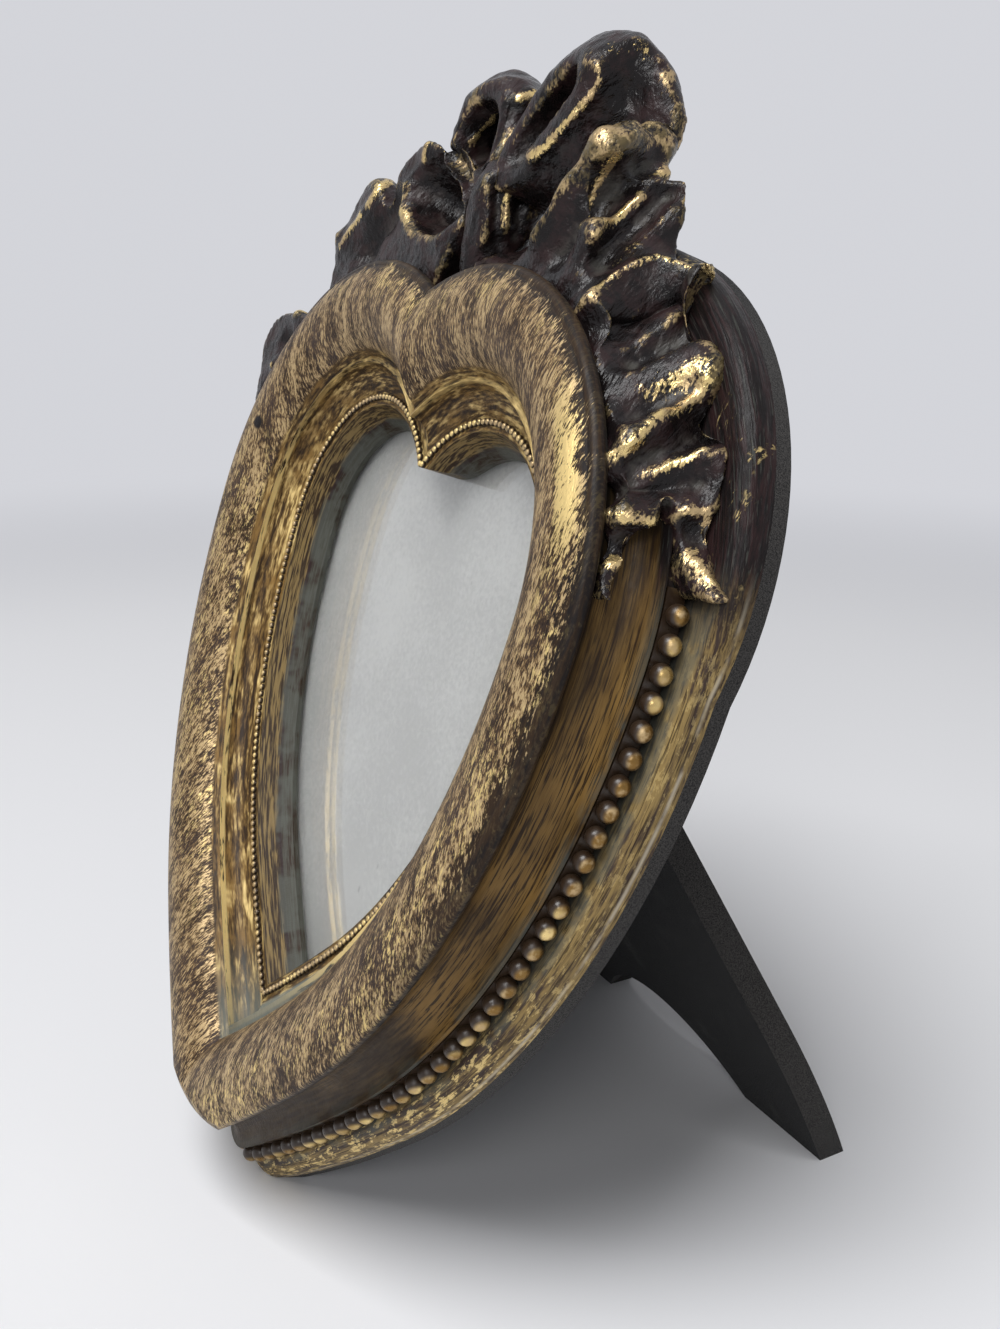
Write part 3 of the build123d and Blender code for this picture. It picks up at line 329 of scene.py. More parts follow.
class Web:
    """Writes the nodes of one shader tree."""

    def __init__(self, tree):
        self.tree = tree

    def node(self, kind, **settings):
        made = self.tree.nodes.new(kind)
        for name, value in settings.items():
            setattr(made, name, value)
        return made

    def feed(self, socket, value):
        if isinstance(value, bpy.types.NodeSocket):
            self.tree.links.new(value, socket)
        else:
            socket.default_value = value

    def feed_all(self, sockets, values):
        for socket, value in zip(sockets, values):
            self.feed(socket, value)

    def fill(self, sockets, **values):
        for name, value in values.items():
            self.feed(sockets[name.replace("_", " ").title().replace("Ior", "IOR")], value)

    def math(self, operation, *values):
        made = self.node("ShaderNodeMath", operation=operation)
        self.feed_all(made.inputs, values)
        return made.outputs[0]

    def chain(self, operation, values):
        """One sum after another, over all the values."""
        result = values[0]
        for value in values[1:]:
            result = self.math(operation, result, value)
        return result

    def times(self, *values):
        return self.chain("MULTIPLY", values)

    def plus(self, *values):
        return self.chain("ADD", values)

    def most(self, *values):
        return self.chain("MAXIMUM", values)

    def rest_of(self, value):
        """What is left of 1."""
        return self.math("SUBTRACT", 1.0, value)

    def span(self, value, low, high, start=0.0, end=1.0):
        """Smooth step of a value from low to high."""
        made = self.node("ShaderNodeMapRange", interpolation_type="SMOOTHSTEP")
        self.feed_all(made.inputs, (value, low, high, start, end))
        return made.outputs[0]

    def vary(self, noise, start, end):
        """From start to end over the range of a noise."""
        return self.span(noise, *NOISE_RANGE, start, end)

    def band(self, value, low, high, soft):
        """1 between low and high, with soft borders."""
        rising = self.span(value, low - soft, low + soft)
        return self.times(rising, self.span(value, high + soft, high - soft))

    def within(self, where, part):
        """1 inside a part of the moulding, given by its soft steps and bands."""
        masks = []
        for name, *ends in part:
            border = self.band if len(ends) == 3 else self.span
            masks.append(border(where[name], *ends))
        return self.times(*masks)

    def choose(self, test, yes, no):
        """yes where test is 1, no where it is 0."""
        made = self.node("ShaderNodeMix", data_type="FLOAT")
        self.feed_all(made.inputs[:1] + made.inputs[2:4], (test, no, yes))
        return made.outputs[0]

    def blend(self, mask, under, over):
        """Colour over on colour under, where the mask is."""
        made = self.node("ShaderNodeMix", data_type="RGBA")
        self.feed_all(made.inputs[:1] + made.inputs[6:8], (mask, under, over))
        return made.outputs[2]

    def place(self, kind="Object"):
        return self.node("ShaderNodeTexCoord").outputs[kind]

    def attribute(self, name):
        return self.node("ShaderNodeAttribute", attribute_name=name).outputs["Fac"]

    def vector(self, x, y, z):
        made = self.node("ShaderNodeCombineXYZ")
        self.feed_all(made.inputs, (x, y, z))
        return made.outputs[0]

    def parts(self, vector):
        made = self.node("ShaderNodeSeparateXYZ")
        self.feed(made.inputs[0], vector)
        return made.outputs

    def vector_math(self, operation, *values):
        made = self.node("ShaderNodeVectorMath", operation=operation)
        self.feed_all(made.inputs, values)
        return made.outputs

    def scaled(self, vector, factors):
        return self.vector_math("MULTIPLY", vector, factors)["Vector"]

    def dot(self, vector, direction):
        return self.vector_math("DOT_PRODUCT", vector, direction)["Value"]

    def noise(self, vector, scale, detail=2.0, rough=0.5, twist=0.0):
        made = self.node("ShaderNodeTexNoise")
        self.fill(made.inputs, vector=vector, scale=scale, detail=detail)
        self.fill(made.inputs, roughness=rough, distortion=twist)
        return made.outputs["Fac"]

    def group(self, tree, **values):
        made = self.node("ShaderNodeGroup", node_tree=tree)
        self.fill(made.inputs, **values)
        return made.outputs

    def strokes(self, vector, cover, soft):
        return self.group(strokes_group(), vector=vector, cover=cover, soft=soft)

    def bump(self, height, strength, distance):
        made = self.node("ShaderNodeBump")
        self.fill(made.inputs, strength=strength, distance=distance, height=height)
        return made.outputs["Normal"]


def new_group(name, inputs, outputs):
    """Empty shader node group with named sockets, its web, and what it is given and gives."""
    tree = bpy.data.node_groups.new(name, "ShaderNodeTree")
    for label, kind, default in inputs:
        socket = tree.interface.new_socket(label, in_out="INPUT", socket_type=kind)
        if default is not None:
            socket.default_value = default
    for label, kind in outputs:
        tree.interface.new_socket(label, in_out="OUTPUT", socket_type=kind)
    web = Web(tree)
    return tree, web, web.node("NodeGroupInput").outputs, web.node("NodeGroupOutput").inputs


def outline_group():
    """Place on the heart in mm: out of the pearl row, height, along it, and (x, z, height)."""
    name = "heart outline"
    if made := bpy.data.node_groups.get(name):
        return made
    tree, web, _, result = new_group(
        name, [], [("Out", VALUE), ("Height", VALUE), ("Along", VALUE), ("Flat", VECTOR)]
    )
    x, y, z = web.parts(web.scaled(web.place(), (1 / MM, 1 / MM, 1 / MM)))
    y = web.plus(y, -HEART_ORIGIN.y)
    z = web.plus(z, -HEART_ORIGIN.z)
    rise = web.plus(web.times(y, UP.y), web.times(z, UP.z))
    height = web.plus(web.times(y, FRONT.y), web.times(z, FRONT.z))
    side = web.math("ABSOLUTE", x)

    def about(centre_x, centre_z, radius):
        """Out and angle about one arc centre of the outline."""
        across = web.plus(side, -centre_x)
        along = web.plus(rise, -centre_z)
        reach = web.math("SQRT", web.plus(web.times(across, across), web.times(along, along)))
        return web.plus(reach, -radius), web.math("ARCTAN2", along, across)

    lobe_out, lobe_angle = about(LOBE_X, 0, LOBE_R)
    flank_out, flank_angle = about(FLANK_X, 0, FLANK_R)
    lower_out, lower_angle = about(LOWER_X, LOWER_Z, LOWER_R)
    tip_out, tip_angle = about(0, TIP_Z, TIP_R)
    on_lobe = web.math("GREATER_THAN", rise, 0.0)
    on_flank = web.math("GREATER_THAN", flank_angle, -FLANK_ANGLE)
    on_lower = web.math("GREATER_THAN", lower_angle, -TIP_ANGLE)
    lobe_along = web.plus(web.times(lobe_angle, LOBE_R), FLANK_RUN)
    flank_along = web.plus(web.times(flank_angle, FLANK_R), FLANK_RUN)
    lower_along = web.plus(web.times(lower_angle, LOWER_R), TIP_RUN + TIP_ANGLE * LOWER_R)
    tip_along = web.plus(web.times(tip_angle, TIP_R), TIP_R * pi / 2)
    out = web.choose(on_lower, lower_out, tip_out)
    out = web.choose(on_lobe, lobe_out, web.choose(on_flank, flank_out, out))
    along = web.choose(on_lower, lower_along, tip_along)
    along = web.choose(on_lobe, lobe_along, web.choose(on_flank, flank_along, along))
    along = web.times(along, web.math("SIGN", x))
    web.feed(result["Out"], out)
    web.feed(result["Height"], height)
    web.feed(result["Along"], along)
    web.feed(result["Flat"], web.vector(x, rise, height))
    return tree


def strokes_group():
    """Short dry-brushed strokes: a mask, and a softer one for the bump."""
    name = "dry brushing"
    if made := bpy.data.node_groups.get(name):
        return made
    tree, web, given, result = new_group(
        name,
        [("Vector", VECTOR, None), ("Cover", VALUE, 0.5), ("Soft", VALUE, 0.08)],
        [("Mask", VALUE), ("Relief", VALUE)],
    )
    fine = web.noise(given["Vector"], 1.0, 3.0, 0.62, 0.12)
    thin = web.noise(web.scaled(given["Vector"], (2.3, 1.5, 2.0)), 1.0, 2.0, 0.6, 0.1)
    patch = web.noise(given["Vector"], 0.13, 2.0, 0.5)
    uneven = web.times(web.plus(patch, -0.5), 0.35)
    level = web.plus(web.times(fine, 0.65), web.times(thin, 0.35), uneven)
    middle = web.rest_of(given["Cover"])
    low = web.math("SUBTRACT", middle, given["Soft"])
    high = web.math("ADD", middle, given["Soft"])
    web.feed(result["Mask"], web.span(level, low, high))
    web.feed(result["Relief"], level)
    return tree


def recess_group():
    """Where a surface lies in a recess, for washes and grime."""
    name = "recess"
    if made := bpy.data.node_groups.get(name):
        return made
    tree, web, given, result = new_group(
        name,
        [("Vector", VECTOR, None), ("Reach", VALUE, 2 * MM), ("Start", VALUE, 0.8)],
        [("Mask", VALUE)],
    )
    shade = web.node("ShaderNodeAmbientOcclusion", samples=6)
    web.feed(shade.inputs["Distance"], given["Reach"])
    uneven = web.times(web.plus(web.noise(given["Vector"], 0.9, 3.0), -0.5), 0.5)
    level = web.plus(shade.outputs["AO"], uneven)
    web.feed(result["Mask"], web.span(level, given["Start"], 0.15))
    return tree


def new_material(name, **plain):
    """Material with a Principled BSDF, whose plain values are set on its sockets."""
    material = bpy.data.materials.new(name)
    material.use_nodes = True
    web = Web(material.node_tree)
    shader = material.node_tree.nodes["Principled BSDF"].inputs
    web.fill(shader, **plain)
    return material, web, shader


def gilt_moulding(paint):
    """Gilding over umber: brushed roll, ochre hollow, olive flange, bright inner steps."""
    material, web, shader = new_material("gilt_moulding", specular_ior_level=0.16)
    spot = web.group(outline_group())
    out, height, along, flat = spot["Out"], spot["Height"], spot["Along"], spot["Flat"]
    run = web.math("ABSOLUTE", along)
    where = {"out": out, "height": height, "along": along, "run": run}
    strokes = web.strokes(web.scaled(flat, (4.4, 0.95, 1.0)), 0.45, 0.04)
    glints = web.strokes(web.scaled(flat, (3.1, 0.80, 0.9)), 0.41, 0.05)
    falling = web.math("SUBTRACT", height, out)
    rising = web.plus(height, out)
    slow = web.times(along, 0.17)
    runs = web.vector(slow, web.times(falling, 1.25), rising)
    streaks = web.strokes(runs, 0.46, 0.14)
    hairs = web.vector(slow, web.times(falling, 3.0), web.times(rising, 2.6))
    lines = web.noise(hairs, 1.0, 2.0, 0.6, 0.35)
    broad = web.noise(flat, 0.055, 2.0)
    cloud = web.noise(flat, 0.16, 3.0, 0.6)
    brush, streak = strokes["Relief"], streaks["Relief"]

    # the roll: mauve ground, pale strokes all over, more gold on its outer edge and its left side
    on_roll = web.within(where, ROLL)
    ground = web.blend(web.span(cloud, 0.35, 0.65), paint.umber, paint.mauve)
    roll = web.blend(web.span(brush, 0.455, 0.515), ground, paint.tan)
    roll = web.blend(web.times(strokes["Mask"], 0.9), roll, paint.pale_gold)
    left = web.within(where, ROLL_LEFT)
    outer = web.times(web.span(out, *ROLL_EDGE_OUT), web.span(broad, 0.37, 0.53))
    right = web.within(where, ROLL_RIGHT)
    # gold on the right lobe's outer crown, where the overhead lamp's highlight falls: partly rubbed
    # gold, partly a painted highlight
    rubbed_highlight = web.within(where, ROLL_RUBBED_HIGHLIGHT)
    rubbed_highlight = web.times(rubbed_highlight, web.span(web.plus(brush, web.times(rubbed_highlight, 0.16)), 0.54, 0.62))
    from_chip = web.vector_math("DISTANCE", web.scaled(flat, (1, 1, 0)), CHIP_PLACE)["Value"]
    chipped = web.span(web.plus(from_chip, web.times(cloud, 1.2)), *CHIP_SIZE)
    richer = web.times(glints["Mask"], web.most(outer, web.times(left, 0.7), right))
    richer = web.most(richer, rubbed_highlight)
    roll = web.blend(richer, roll, paint.gold)

    # its outer edge, and a low patch of it near the tip, are painted dark as the shade of the
    # groove behind, with a ragged border
    ragged = web.times(web.plus(cloud, -0.5), 2.0)
    ragged = web.plus(ragged, web.times(web.plus(brush, -0.5), -9.0))
    edge_shade = web.span(web.plus(out, ragged), *EDGE_SHADE_OUT)
    edge_shade = web.times(edge_shade, web.span(run, *EDGE_SHADE_RUN, 0.12, 0.95))
    edge_shade = web.most(edge_shade, web.times(web.within(where, UNDER_ROLL), 0.92))
    # tone of that painted shade
    edge_shade_tone = web.blend(web.span(streak, 0.40, 0.60), paint.bronze, paint.umber)
    roll = web.blend(edge_shade, roll, edge_shade_tone)
    roll = web.blend(chipped, roll, paint.bronze)
    kept = web.rest_of(web.most(chipped, edge_shade))
    metal = web.times(on_roll, web.most(web.times(strokes["Mask"], 0.4), richer), kept)

    # the base flange: olive with scraps of gold leaf, and a cream rim
    flange = web.blend(web.span(streak, 0.40, 0.60), paint.mauve, paint.olive)
    leaf = web.noise(web.vector(web.times(along, 0.6), falling, rising), 1.0, 4.0, 0.68)
    leaf = web.times(web.span(leaf, 0.52, 0.60), web.span(run, *LEAF_RUN, 0.25, 1.0))
    flange = web.blend(web.times(leaf, 0.85), flange, paint.gold)
    flange = web.blend(web.times(web.span(lines, 0.45, 0.36), 0.8), flange, paint.umber)
    rim = web.times(web.within(where, FLANGE_RIM), web.span(cloud, 0.35, 0.55))
    flange = web.blend(web.times(rim, 0.7), flange, paint.cream)
    on_flange = web.within(where, FLANGE)

    # the hollow: patches of ochre lacquer, and painted shade in the groove under the roll's edge
    patch = web.span(web.plus(broad, web.times(streak, 0.25)), 0.56, 0.80)
    patch = web.times(patch, web.span(run, *PATCH_RUN))
    hollow = web.blend(web.times(patch, 0.95), paint.umber, paint.ochre)
    hollow = web.blend(web.span(lines, 0.52, 0.40), hollow, paint.umber)
    hollow = web.blend(web.times(streaks["Mask"], 0.12), hollow, paint.olive)
    hollow = web.blend(web.times(leaf, patch, 0.5), hollow, paint.ochre)
    # painted shade under the roll's overhang
    hollow = web.blend(web.span(height, *GROOVE_SHADE_H), hollow, paint.bronze)
    in_hollow = web.within(where, HOLLOW)

    # the inner steps: streaked ochre, a bright edge, a dull lip with a painted shadow line and a
    # painted grey-green reflection on its lower part, and pale paste in the lower corner
    inner = web.blend(web.span(streak, 0.36, 0.60), paint.umber, paint.ochre)
    golden = web.times(web.span(streak, 0.46, 0.66), web.span(cloud, 0.40, 0.60))
    inner = web.blend(golden, inner, paint.gold)
    bright = web.times(web.within(where, BRIGHT_EDGE), web.span(streak, 0.36, 0.46))
    bright = web.times(bright, web.span(run, *BRIGHT_RUN, 0.3, 1.0))
    inner = web.blend(bright, inner, paint.gold)
    lip = web.blend(web.times(web.span(lines, 0.42, 0.60), 0.8), paint.umber, paint.olive)
    # painted reflection of the lip in the glass, grey-green over umber
    lip_reflection = web.blend(web.times(web.span(lines, 0.40, 0.60), 0.5), paint.umber, paint.wash)
    lip = web.blend(web.span(out, *LIP_REFLECTION_OUT), lip, lip_reflection)
    # painted shadow line where that reflection starts
    lip = web.blend(web.band(out, *LIP_SHADOW_OUT), lip, paint.plum)
    inner = web.blend(web.span(out, *LIP_OUT), inner, lip)
    inner = web.blend(web.times(web.within(where, LOWER_CORNER), 0.85), inner, paint.paste)
    on_inner = web.within(where, INNER_STEPS)

    # all parts together, washed in the recesses, with dark bronze on the shoulders beside the bow
    paintwork = paint.umber
    parts = ((on_roll, roll), (in_hollow, hollow), (on_flange, flange), (on_inner, inner))
    for mask, part in parts:
        paintwork = web.blend(mask, paintwork, part)
    recess = web.group(recess_group(), vector=flat, reach=2.2 * MM, start=0.72)["Mask"]
    washed = web.times(recess, web.span(in_hollow, 0.0, 1.0, 0.5, 0.15))
    beside_pearls = web.times(web.band(height, *PEARL_BED_H), web.span(cloud, 0.40, 0.55))
    washed = web.most(washed, web.times(beside_pearls, 0.6))
    paintwork = web.blend(washed, paintwork, paint.wash)
    dark = web.blend(web.span(streak, 0.42, 0.58), paint.bronze, paint.plum)
    dark = web.blend(web.times(web.span(lines, 0.58, 0.66), 0.3), dark, paint.wash)
    scraps = web.times(glints["Mask"], web.span(cloud, 0.60, 0.66), 0.6)
    dark = web.blend(scraps, dark, paint.gold)
    shoulder = web.within(where, SHOULDER)
    paintwork = web.blend(shoulder, paintwork, dark)

    gilded = web.most(metal, web.times(on_inner, bright), web.times(on_flange, leaf, 0.6))
    rough = web.plus(web.vary(brush, 0.52, 0.34), web.times(recess, 0.3))
    creases = web.times(streak, web.plus(web.times(shoulder, 2.5), 0.4))
    brushed = web.times(brush, web.rest_of(edge_shade))
    relief = web.plus(brushed, creases, web.times(cloud, 1.5))
    web.fill(
        shader, base_color=paintwork, metallic=web.times(gilded, 0.9), roughness=rough,
        normal=web.bump(relief, 0.40, 0.22 * MM),
    )
    return material


def gilt_pearls(paint):
    """Gold on the face of each pearl, dark glaze in the gaps."""
    material, web, shader = new_material("gilt_pearls")
    spot = web.group(outline_group())
    out, height, along, flat = spot["Out"], spot["Height"], spot["Along"], spot["Flat"]
    turn = web.math("FRACT", web.times(web.math("ABSOLUTE", along), 1 / PEARL_PITCH))
    off = web.times(web.plus(turn, -0.5), PEARL_PITCH)
    low = web.plus(height, -PEARL_H)
    reach = web.math("SQRT", web.plus(web.times(off, off), web.times(low, low)))
    face = web.times(web.span(reach, *PEARL_FACE), web.span(out, *PEARL_FRONT))
    mottle = web.noise(flat, 0.8, 3.0, 0.6)
    tone = web.noise(flat, 0.12, 2.0)
    rubbed = web.blend(web.span(tone, 0.34, 0.56), paint.gold, paint.ochre)
    rubbed = web.blend(web.span(mottle, 0.45, 0.7), rubbed, paint.pale_gold)
    web.fill(
        shader, base_color=web.blend(face, paint.umber, rubbed), metallic=web.times(face, 0.9),
        roughness=web.vary(mottle, 0.26, 0.5), normal=web.bump(mottle, 0.25, 0.2 * MM),
    )
    return material


def gilt_beads(paint):
    """Gold on the crown of each fine bead, dark between them."""
    material, web, shader = new_material("gilt_beads")
    spot = web.group(outline_group())
    crown = web.span(spot["Height"], *BEAD_CROWN)
    tone = web.noise(spot["Flat"], 0.09, 2.0)
    mottle = web.noise(spot["Flat"], 1.4, 2.0)
    rubbed = web.blend(web.span(tone, 0.42, 0.6), paint.pale_gold, paint.gold)
    gilded = web.times(crown, web.span(mottle, 0.2, 0.5))
    web.fill(
        shader, base_color=web.blend(gilded, paint.umber, rubbed), metallic=web.times(crown, 0.75),
        roughness=web.vary(mottle, 0.3, 0.5), normal=web.bump(mottle, 0.2, 0.1 * MM),
    )
    return material


def bronze_ribbon(paint):
    """Dark bronze with a purple tinge, gold on the crests and a grey-green wash in the folds."""
    material, web, shader = new_material("bronze_ribbon", specular_ior_level=0.25)
    flat = web.group(outline_group())["Flat"]
    crest, fold, gilt = (web.attribute(name) for name in ("crest", "fold", "gilt"))
    mottle = web.noise(flat, 0.35, 3.0, 0.6)
    grain = web.strokes(web.scaled(flat, (2.4, 1.1, 2.0)), 0.5, 0.12)["Relief"]
    lengthwise = web.times(web.dot(flat, PLEAT_LINE), 0.16)
    pleats = web.vector(lengthwise, web.dot(flat, PLEAT_SIDE), web.dot(flat, PLEAT_FACE))
    pleats = web.noise(pleats, 1.1, 3.0, 0.55, 0.3)
    ground = web.blend(web.span(mottle, 0.4, 0.65), paint.bronze, paint.plum)
    wash = web.times(fold, web.span(mottle, 0.44, 0.60), 0.4)
    ground = web.blend(wash, ground, paint.wash)
    edge = web.times(crest, web.span(web.plus(grain, web.times(crest, 0.30)), 0.70, 0.86))
    edge = web.times(edge, web.span(mottle, 0.44, 0.58, 0.15, 0.9))
    rub = web.plus(web.times(grain, 1.5), web.times(gilt, 0.75))
    rub = web.most(edge, web.span(rub, 1.20, 1.36))
    tone = web.blend(web.span(mottle, 0.35, 0.6), paint.gold, paint.pale_gold)
    rough = web.plus(web.vary(mottle, 0.18, 0.36), web.times(wash, 0.4))
    relief = web.plus(grain, web.times(pleats, 3.5))
    web.fill(
        shader, base_color=web.blend(rub, ground, tone), metallic=web.times(rub, 0.85),
        roughness=rough, normal=web.bump(relief, 0.35, 0.3 * MM),
    )
    return material


def black_velvet(paint):
    """Short black pile, rubbed grey in patches, and paler on the faces that point sideways."""
    material, web, shader = new_material(
        "black_velvet", sheen_weight=0.1, sheen_roughness=0.4, specular_ior_level=0.15
    )
    spot = web.place()
    pile = web.noise(spot, 6000.0, 3.0, 0.7)
    nap = web.noise(spot, 120.0, 3.0, 0.6)
    sideways = web.math("ABSOLUTE", web.parts(web.place("Normal"))[0])
    # faces that point sideways are paler
    edge = web.span(sideways, 0.35, 0.8)
    paler_pile = web.most(web.times(web.span(nap, 0.56, 0.72), 0.5), edge)
    paler_pile = web.times(paler_pile, web.span(pile, 0.3, 0.65), 0.55)
    relief = web.plus(pile, web.times(nap, 0.6))
    web.fill(
        shader, base_color=web.blend(paler_pile, paint.velvet, paint.velvet_worn),
        roughness=web.vary(pile, 0.8, 0.98), normal=web.bump(relief, 0.5, 0.3 * MM),
    )
    return material


def clear_glass():
    """Clear picture glass."""
    material, web, shader = new_material(
        "clear_glass", base_color=GLASS_TINT, ior=1.5, transmission_weight=1.0
    )
    smear = web.noise(web.place(), 60.0, 3.0)
    web.fill(shader, roughness=web.span(smear, 0.4, 0.8, 0.0, 0.03))
    return material


def darker(tone, part):
    """Colour with only a part of its light."""
    return tuple(part * value for value in tone[:3]) + (1,)


def plain_card(name, tone, specks):
    """Card or board with a fine fibre and a few specks."""
    material, web, shader = new_material(name, specular_ior_level=0.25)
    spot = web.place()
    fibre = web.noise(spot, 1500.0, 3.0, 0.7)
    cloud = web.noise(spot, 45.0, 3.0)
    shade = web.blend(web.span(web.plus(fibre, cloud), 0.8, 1.3), darker(tone, 0.82), tone)
    speck = web.node("ShaderNodeTexVoronoi")
    web.feed(speck.inputs["Vector"], web.scaled(spot, (1, 0.6, 0.6)))
    speck.inputs["Scale"].default_value = 190.0
    dots = web.times(web.span(speck.outputs["Distance"], 0.075, 0.045), specks)
    web.fill(
        shader, base_color=web.blend(dots, shade, darker(tone, 0.42)),
        roughness=web.vary(fibre, 0.7, 0.9), normal=web.bump(fibre, 0.15, 0.1 * MM),
    )
    return material


def hardware_metal(name, tone, tarnish):
    """Rolled brass or steel with fine scratches and tarnish."""
    material, web, shader = new_material(name, metallic=1.0)
    spot = web.place()
    scratch = web.noise(web.scaled(spot, (300.0, 4000.0, 4000.0)), 1.0, 2.0)
    stain = web.noise(spot, 260.0, 4.0, 0.6)
    rough = web.plus(web.vary(stain, 0.22, 0.5), web.times(scratch, 0.1))
    web.fill(
        shader, base_color=web.blend(web.span(stain, 0.45, 0.75), tone, tarnish),
        roughness=rough, normal=web.bump(scratch, 0.12, 0.05 * MM),
    )
    return material


def place(x, z, height):
    """World place in metres of a point of the heart's own frame in mm."""
    return (HEART_ORIGIN + Vector((x, 0, 0)) + UP * z + FRONT * height) * MM


def finish_nodes(material, *names):
    """Assign a material to the slots of CAD nodes."""
    for name in names:
        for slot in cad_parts[name].material_slots:
            slot.material = material


def new_object(name, data):
    """Object in the scene."""
    made = bpy.data.objects.new(name, data)
    bpy.context.scene.collection.objects.link(made)
    return made


def mesh_from(bm, name):
    """Mesh of what a bmesh holds."""
    mesh = bpy.data.meshes.new(name)
    bm.to_mesh(mesh)
    bm.free()
    return mesh


def listed_mesh(name, corners, faces):
    """Mesh whose corners and faces keep their order in every run."""
    mesh = bpy.data.meshes.new(name)
    mesh.from_pydata(corners, [], faces)
    return mesh


def new_piece(name, mesh, material, slot, *nodes, smooth=True):
    """Object that rides on the frame in place of CAD nodes."""
    piece = new_object(name, mesh)
    if not mesh.materials:
        mesh.materials.append(material)
    else:
        mesh.materials[0] = material
    for face in mesh.polygons:
        face.use_smooth = smooth
    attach(piece, "frame")
    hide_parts(*nodes)
    return piece


def right_arcs(out):
    """Centre, radius, start and end of the arcs of the right half, from the cleft down."""
    lobe, flank, lower = LOBE_R + out, FLANK_R + out, LOWER_R + out
    return (
        (LOBE_X, 0, lobe, acos(-LOBE_X / lobe), 0),
        (FLANK_X, 0, flank, 0, -FLANK_ANGLE),
        (LOWER_X, LOWER_Z, lower, -FLANK_ANGLE, -acos(-LOWER_X / lower)),
    )


def heart_outline(out):
    """Points of an outline, from the cleft down the right side and up the left."""
    right = []
    for (x, z, radius, start, end), steps in zip(right_arcs(out), OUTLINE_STEPS):
        for step in range(steps):
            angle = start + (end - start) * step / steps
            right.append((x + radius * cos(angle), z + radius * sin(angle)))
    corner = (0, LOWER_Z - sqrt((LOWER_R + out) ** 2 - LOWER_X**2))
    return right + [corner] + [(-x, z) for x, z in reversed(right[1:])]


def bead_centres(pitch):
    """Centres of the fine beads, from the cleft to the lower corner, first right and then left."""
    arcs = right_arcs(BEAD_OUT)
    total = sum(radius * (start - end) for x, z, radius, start, end in arcs)
    count = int(total / pitch)
    step = total / count
    spots = []
    for number in range(count):
        left = (number + 0.5) * step
        for x, z, radius, start, end in arcs:
            if left <= radius * (start - end):
                break
            left -= radius * (start - end)
        angle = start - left / radius
        spots.append((x + radius * cos(angle), z + radius * sin(angle)))
    return spots + [(-x, z) for x, z in spots]


def bead_shape(radius):
    """Corners and faces of one bead: two poles and the rings between them."""
    corners = [Vector((0, 0, radius)), Vector((0, 0, -radius))]
    faces = []
    for ring in range(1, BEAD_RINGS):
        tilt = pi * ring / BEAD_RINGS
        first = len(corners)
        for number in range(BEAD_SEGMENTS):
            turn = 2 * pi * number / BEAD_SEGMENTS
            spot = (sin(tilt) * cos(turn), sin(tilt) * sin(turn), cos(tilt))
            corners.append(radius * Vector(spot))
            here, beside = first + number, first + (number + 1) % BEAD_SEGMENTS
            if ring == 1:
                faces.append((0, here, beside))
            if ring == BEAD_RINGS - 1:
                faces.append((1, beside, here))
            else:
                faces.append((here, here + BEAD_SEGMENTS, beside + BEAD_SEGMENTS, beside))
    return corners, faces


class HEART_OT_moulding(bpy.types.Operator):
    """Gild the heart moulding and the pearls"""

    bl_idname = "heart_frame.moulding"
    bl_label = "Gild moulding and pearls"

    def execute(self, context):
        paint = context.scene.heart_finishes
        finish_nodes(gilt_moulding(paint), "heart_moulding")
        finish_nodes(gilt_pearls(paint), "pearl_beading")
        return {"FINISHED"}


class HEART_OT_beading(bpy.types.Operator):
    """Set the fine beads round the sight opening"""

    bl_idname = "heart_frame.beading"
    bl_label = "Set fine beading"

    def execute(self, context):
        sizes = context.scene.heart_sizes
        material = gilt_beads(context.scene.heart_finishes)
        upright = Matrix(HEART_AXES).transposed().to_4x4()
        bead_corners, bead_faces = bead_shape(sizes.bead_radius)
        corners, faces = [], []
        for x, z in bead_centres(sizes.bead_pitch / MM):
            spot = Matrix.Translation(place(x, z, BEAD_H)) @ upright
            faces += [[len(corners) + corner for corner in face] for face in bead_faces]
            corners += [spot @ corner for corner in bead_corners]
        mesh = listed_mesh("fine_beads", corners, faces)
        new_piece("fine_beads", mesh, material, "gilt_beads", "sight_beading")
        return {"FINISHED"}


def neighbour_mean(points, edges, rounds):
    """Points averaged with their neighbours, a number of times."""
    ends = np.concatenate((edges[:, 0], edges[:, 1]))
    others = np.concatenate((edges[:, 1], edges[:, 0]))
    count = np.bincount(ends, minlength=len(points))
    for _ in range(rounds):
        total = [np.bincount(ends, column[others], len(points)) for column in points.T]
        points = 0.5 * points + 0.5 * np.stack(total, axis=1) / count[:, None]
    return points


def near_line(points, line):
    """Distance of points from a line of several runs."""
    best = np.full(len(points), np.inf)
    for start, end in zip(line, line[1:]):
        run = end - start
        part = np.clip((points - start) @ run / (run @ run), 0, 1)
        best = np.minimum(best, np.linalg.norm(points - start - part[:, None] * run, axis=1))
    return best


def ripple(points, size):
    """Gentle unevenness of the given size in mm at each point."""
    return np.array([noise.noise(spot) for spot in points / size])


def press_folds(points, folds):
    """How far points move along their normals into folds, in mm, and how much gold is rubbed on."""
    local = (points / MM - np.array(HEART_ORIGIN)) @ np.array(HEART_AXES).T
    shift = LUMP_H * ripple(local, LUMP_SIZE) + GRAIN_H * ripple(local * GRAIN_STRETCH, GRAIN_SIZE)
    rubbed = np.zeros(len(points))
    for proud, width, gold, line in folds:
        reach = near_line(local, np.array(line)) / width
        sharpness = CREST_SHARPNESS if proud > 0 else CREASE_SHARPNESS
        shift += FOLD_DEPTH * proud * np.exp(-(reach**sharpness))
        rubbed = np.maximum(rubbed, gold * np.exp(-((reach / GILT_WIDTH) ** 2)))
    return shift, rubbed


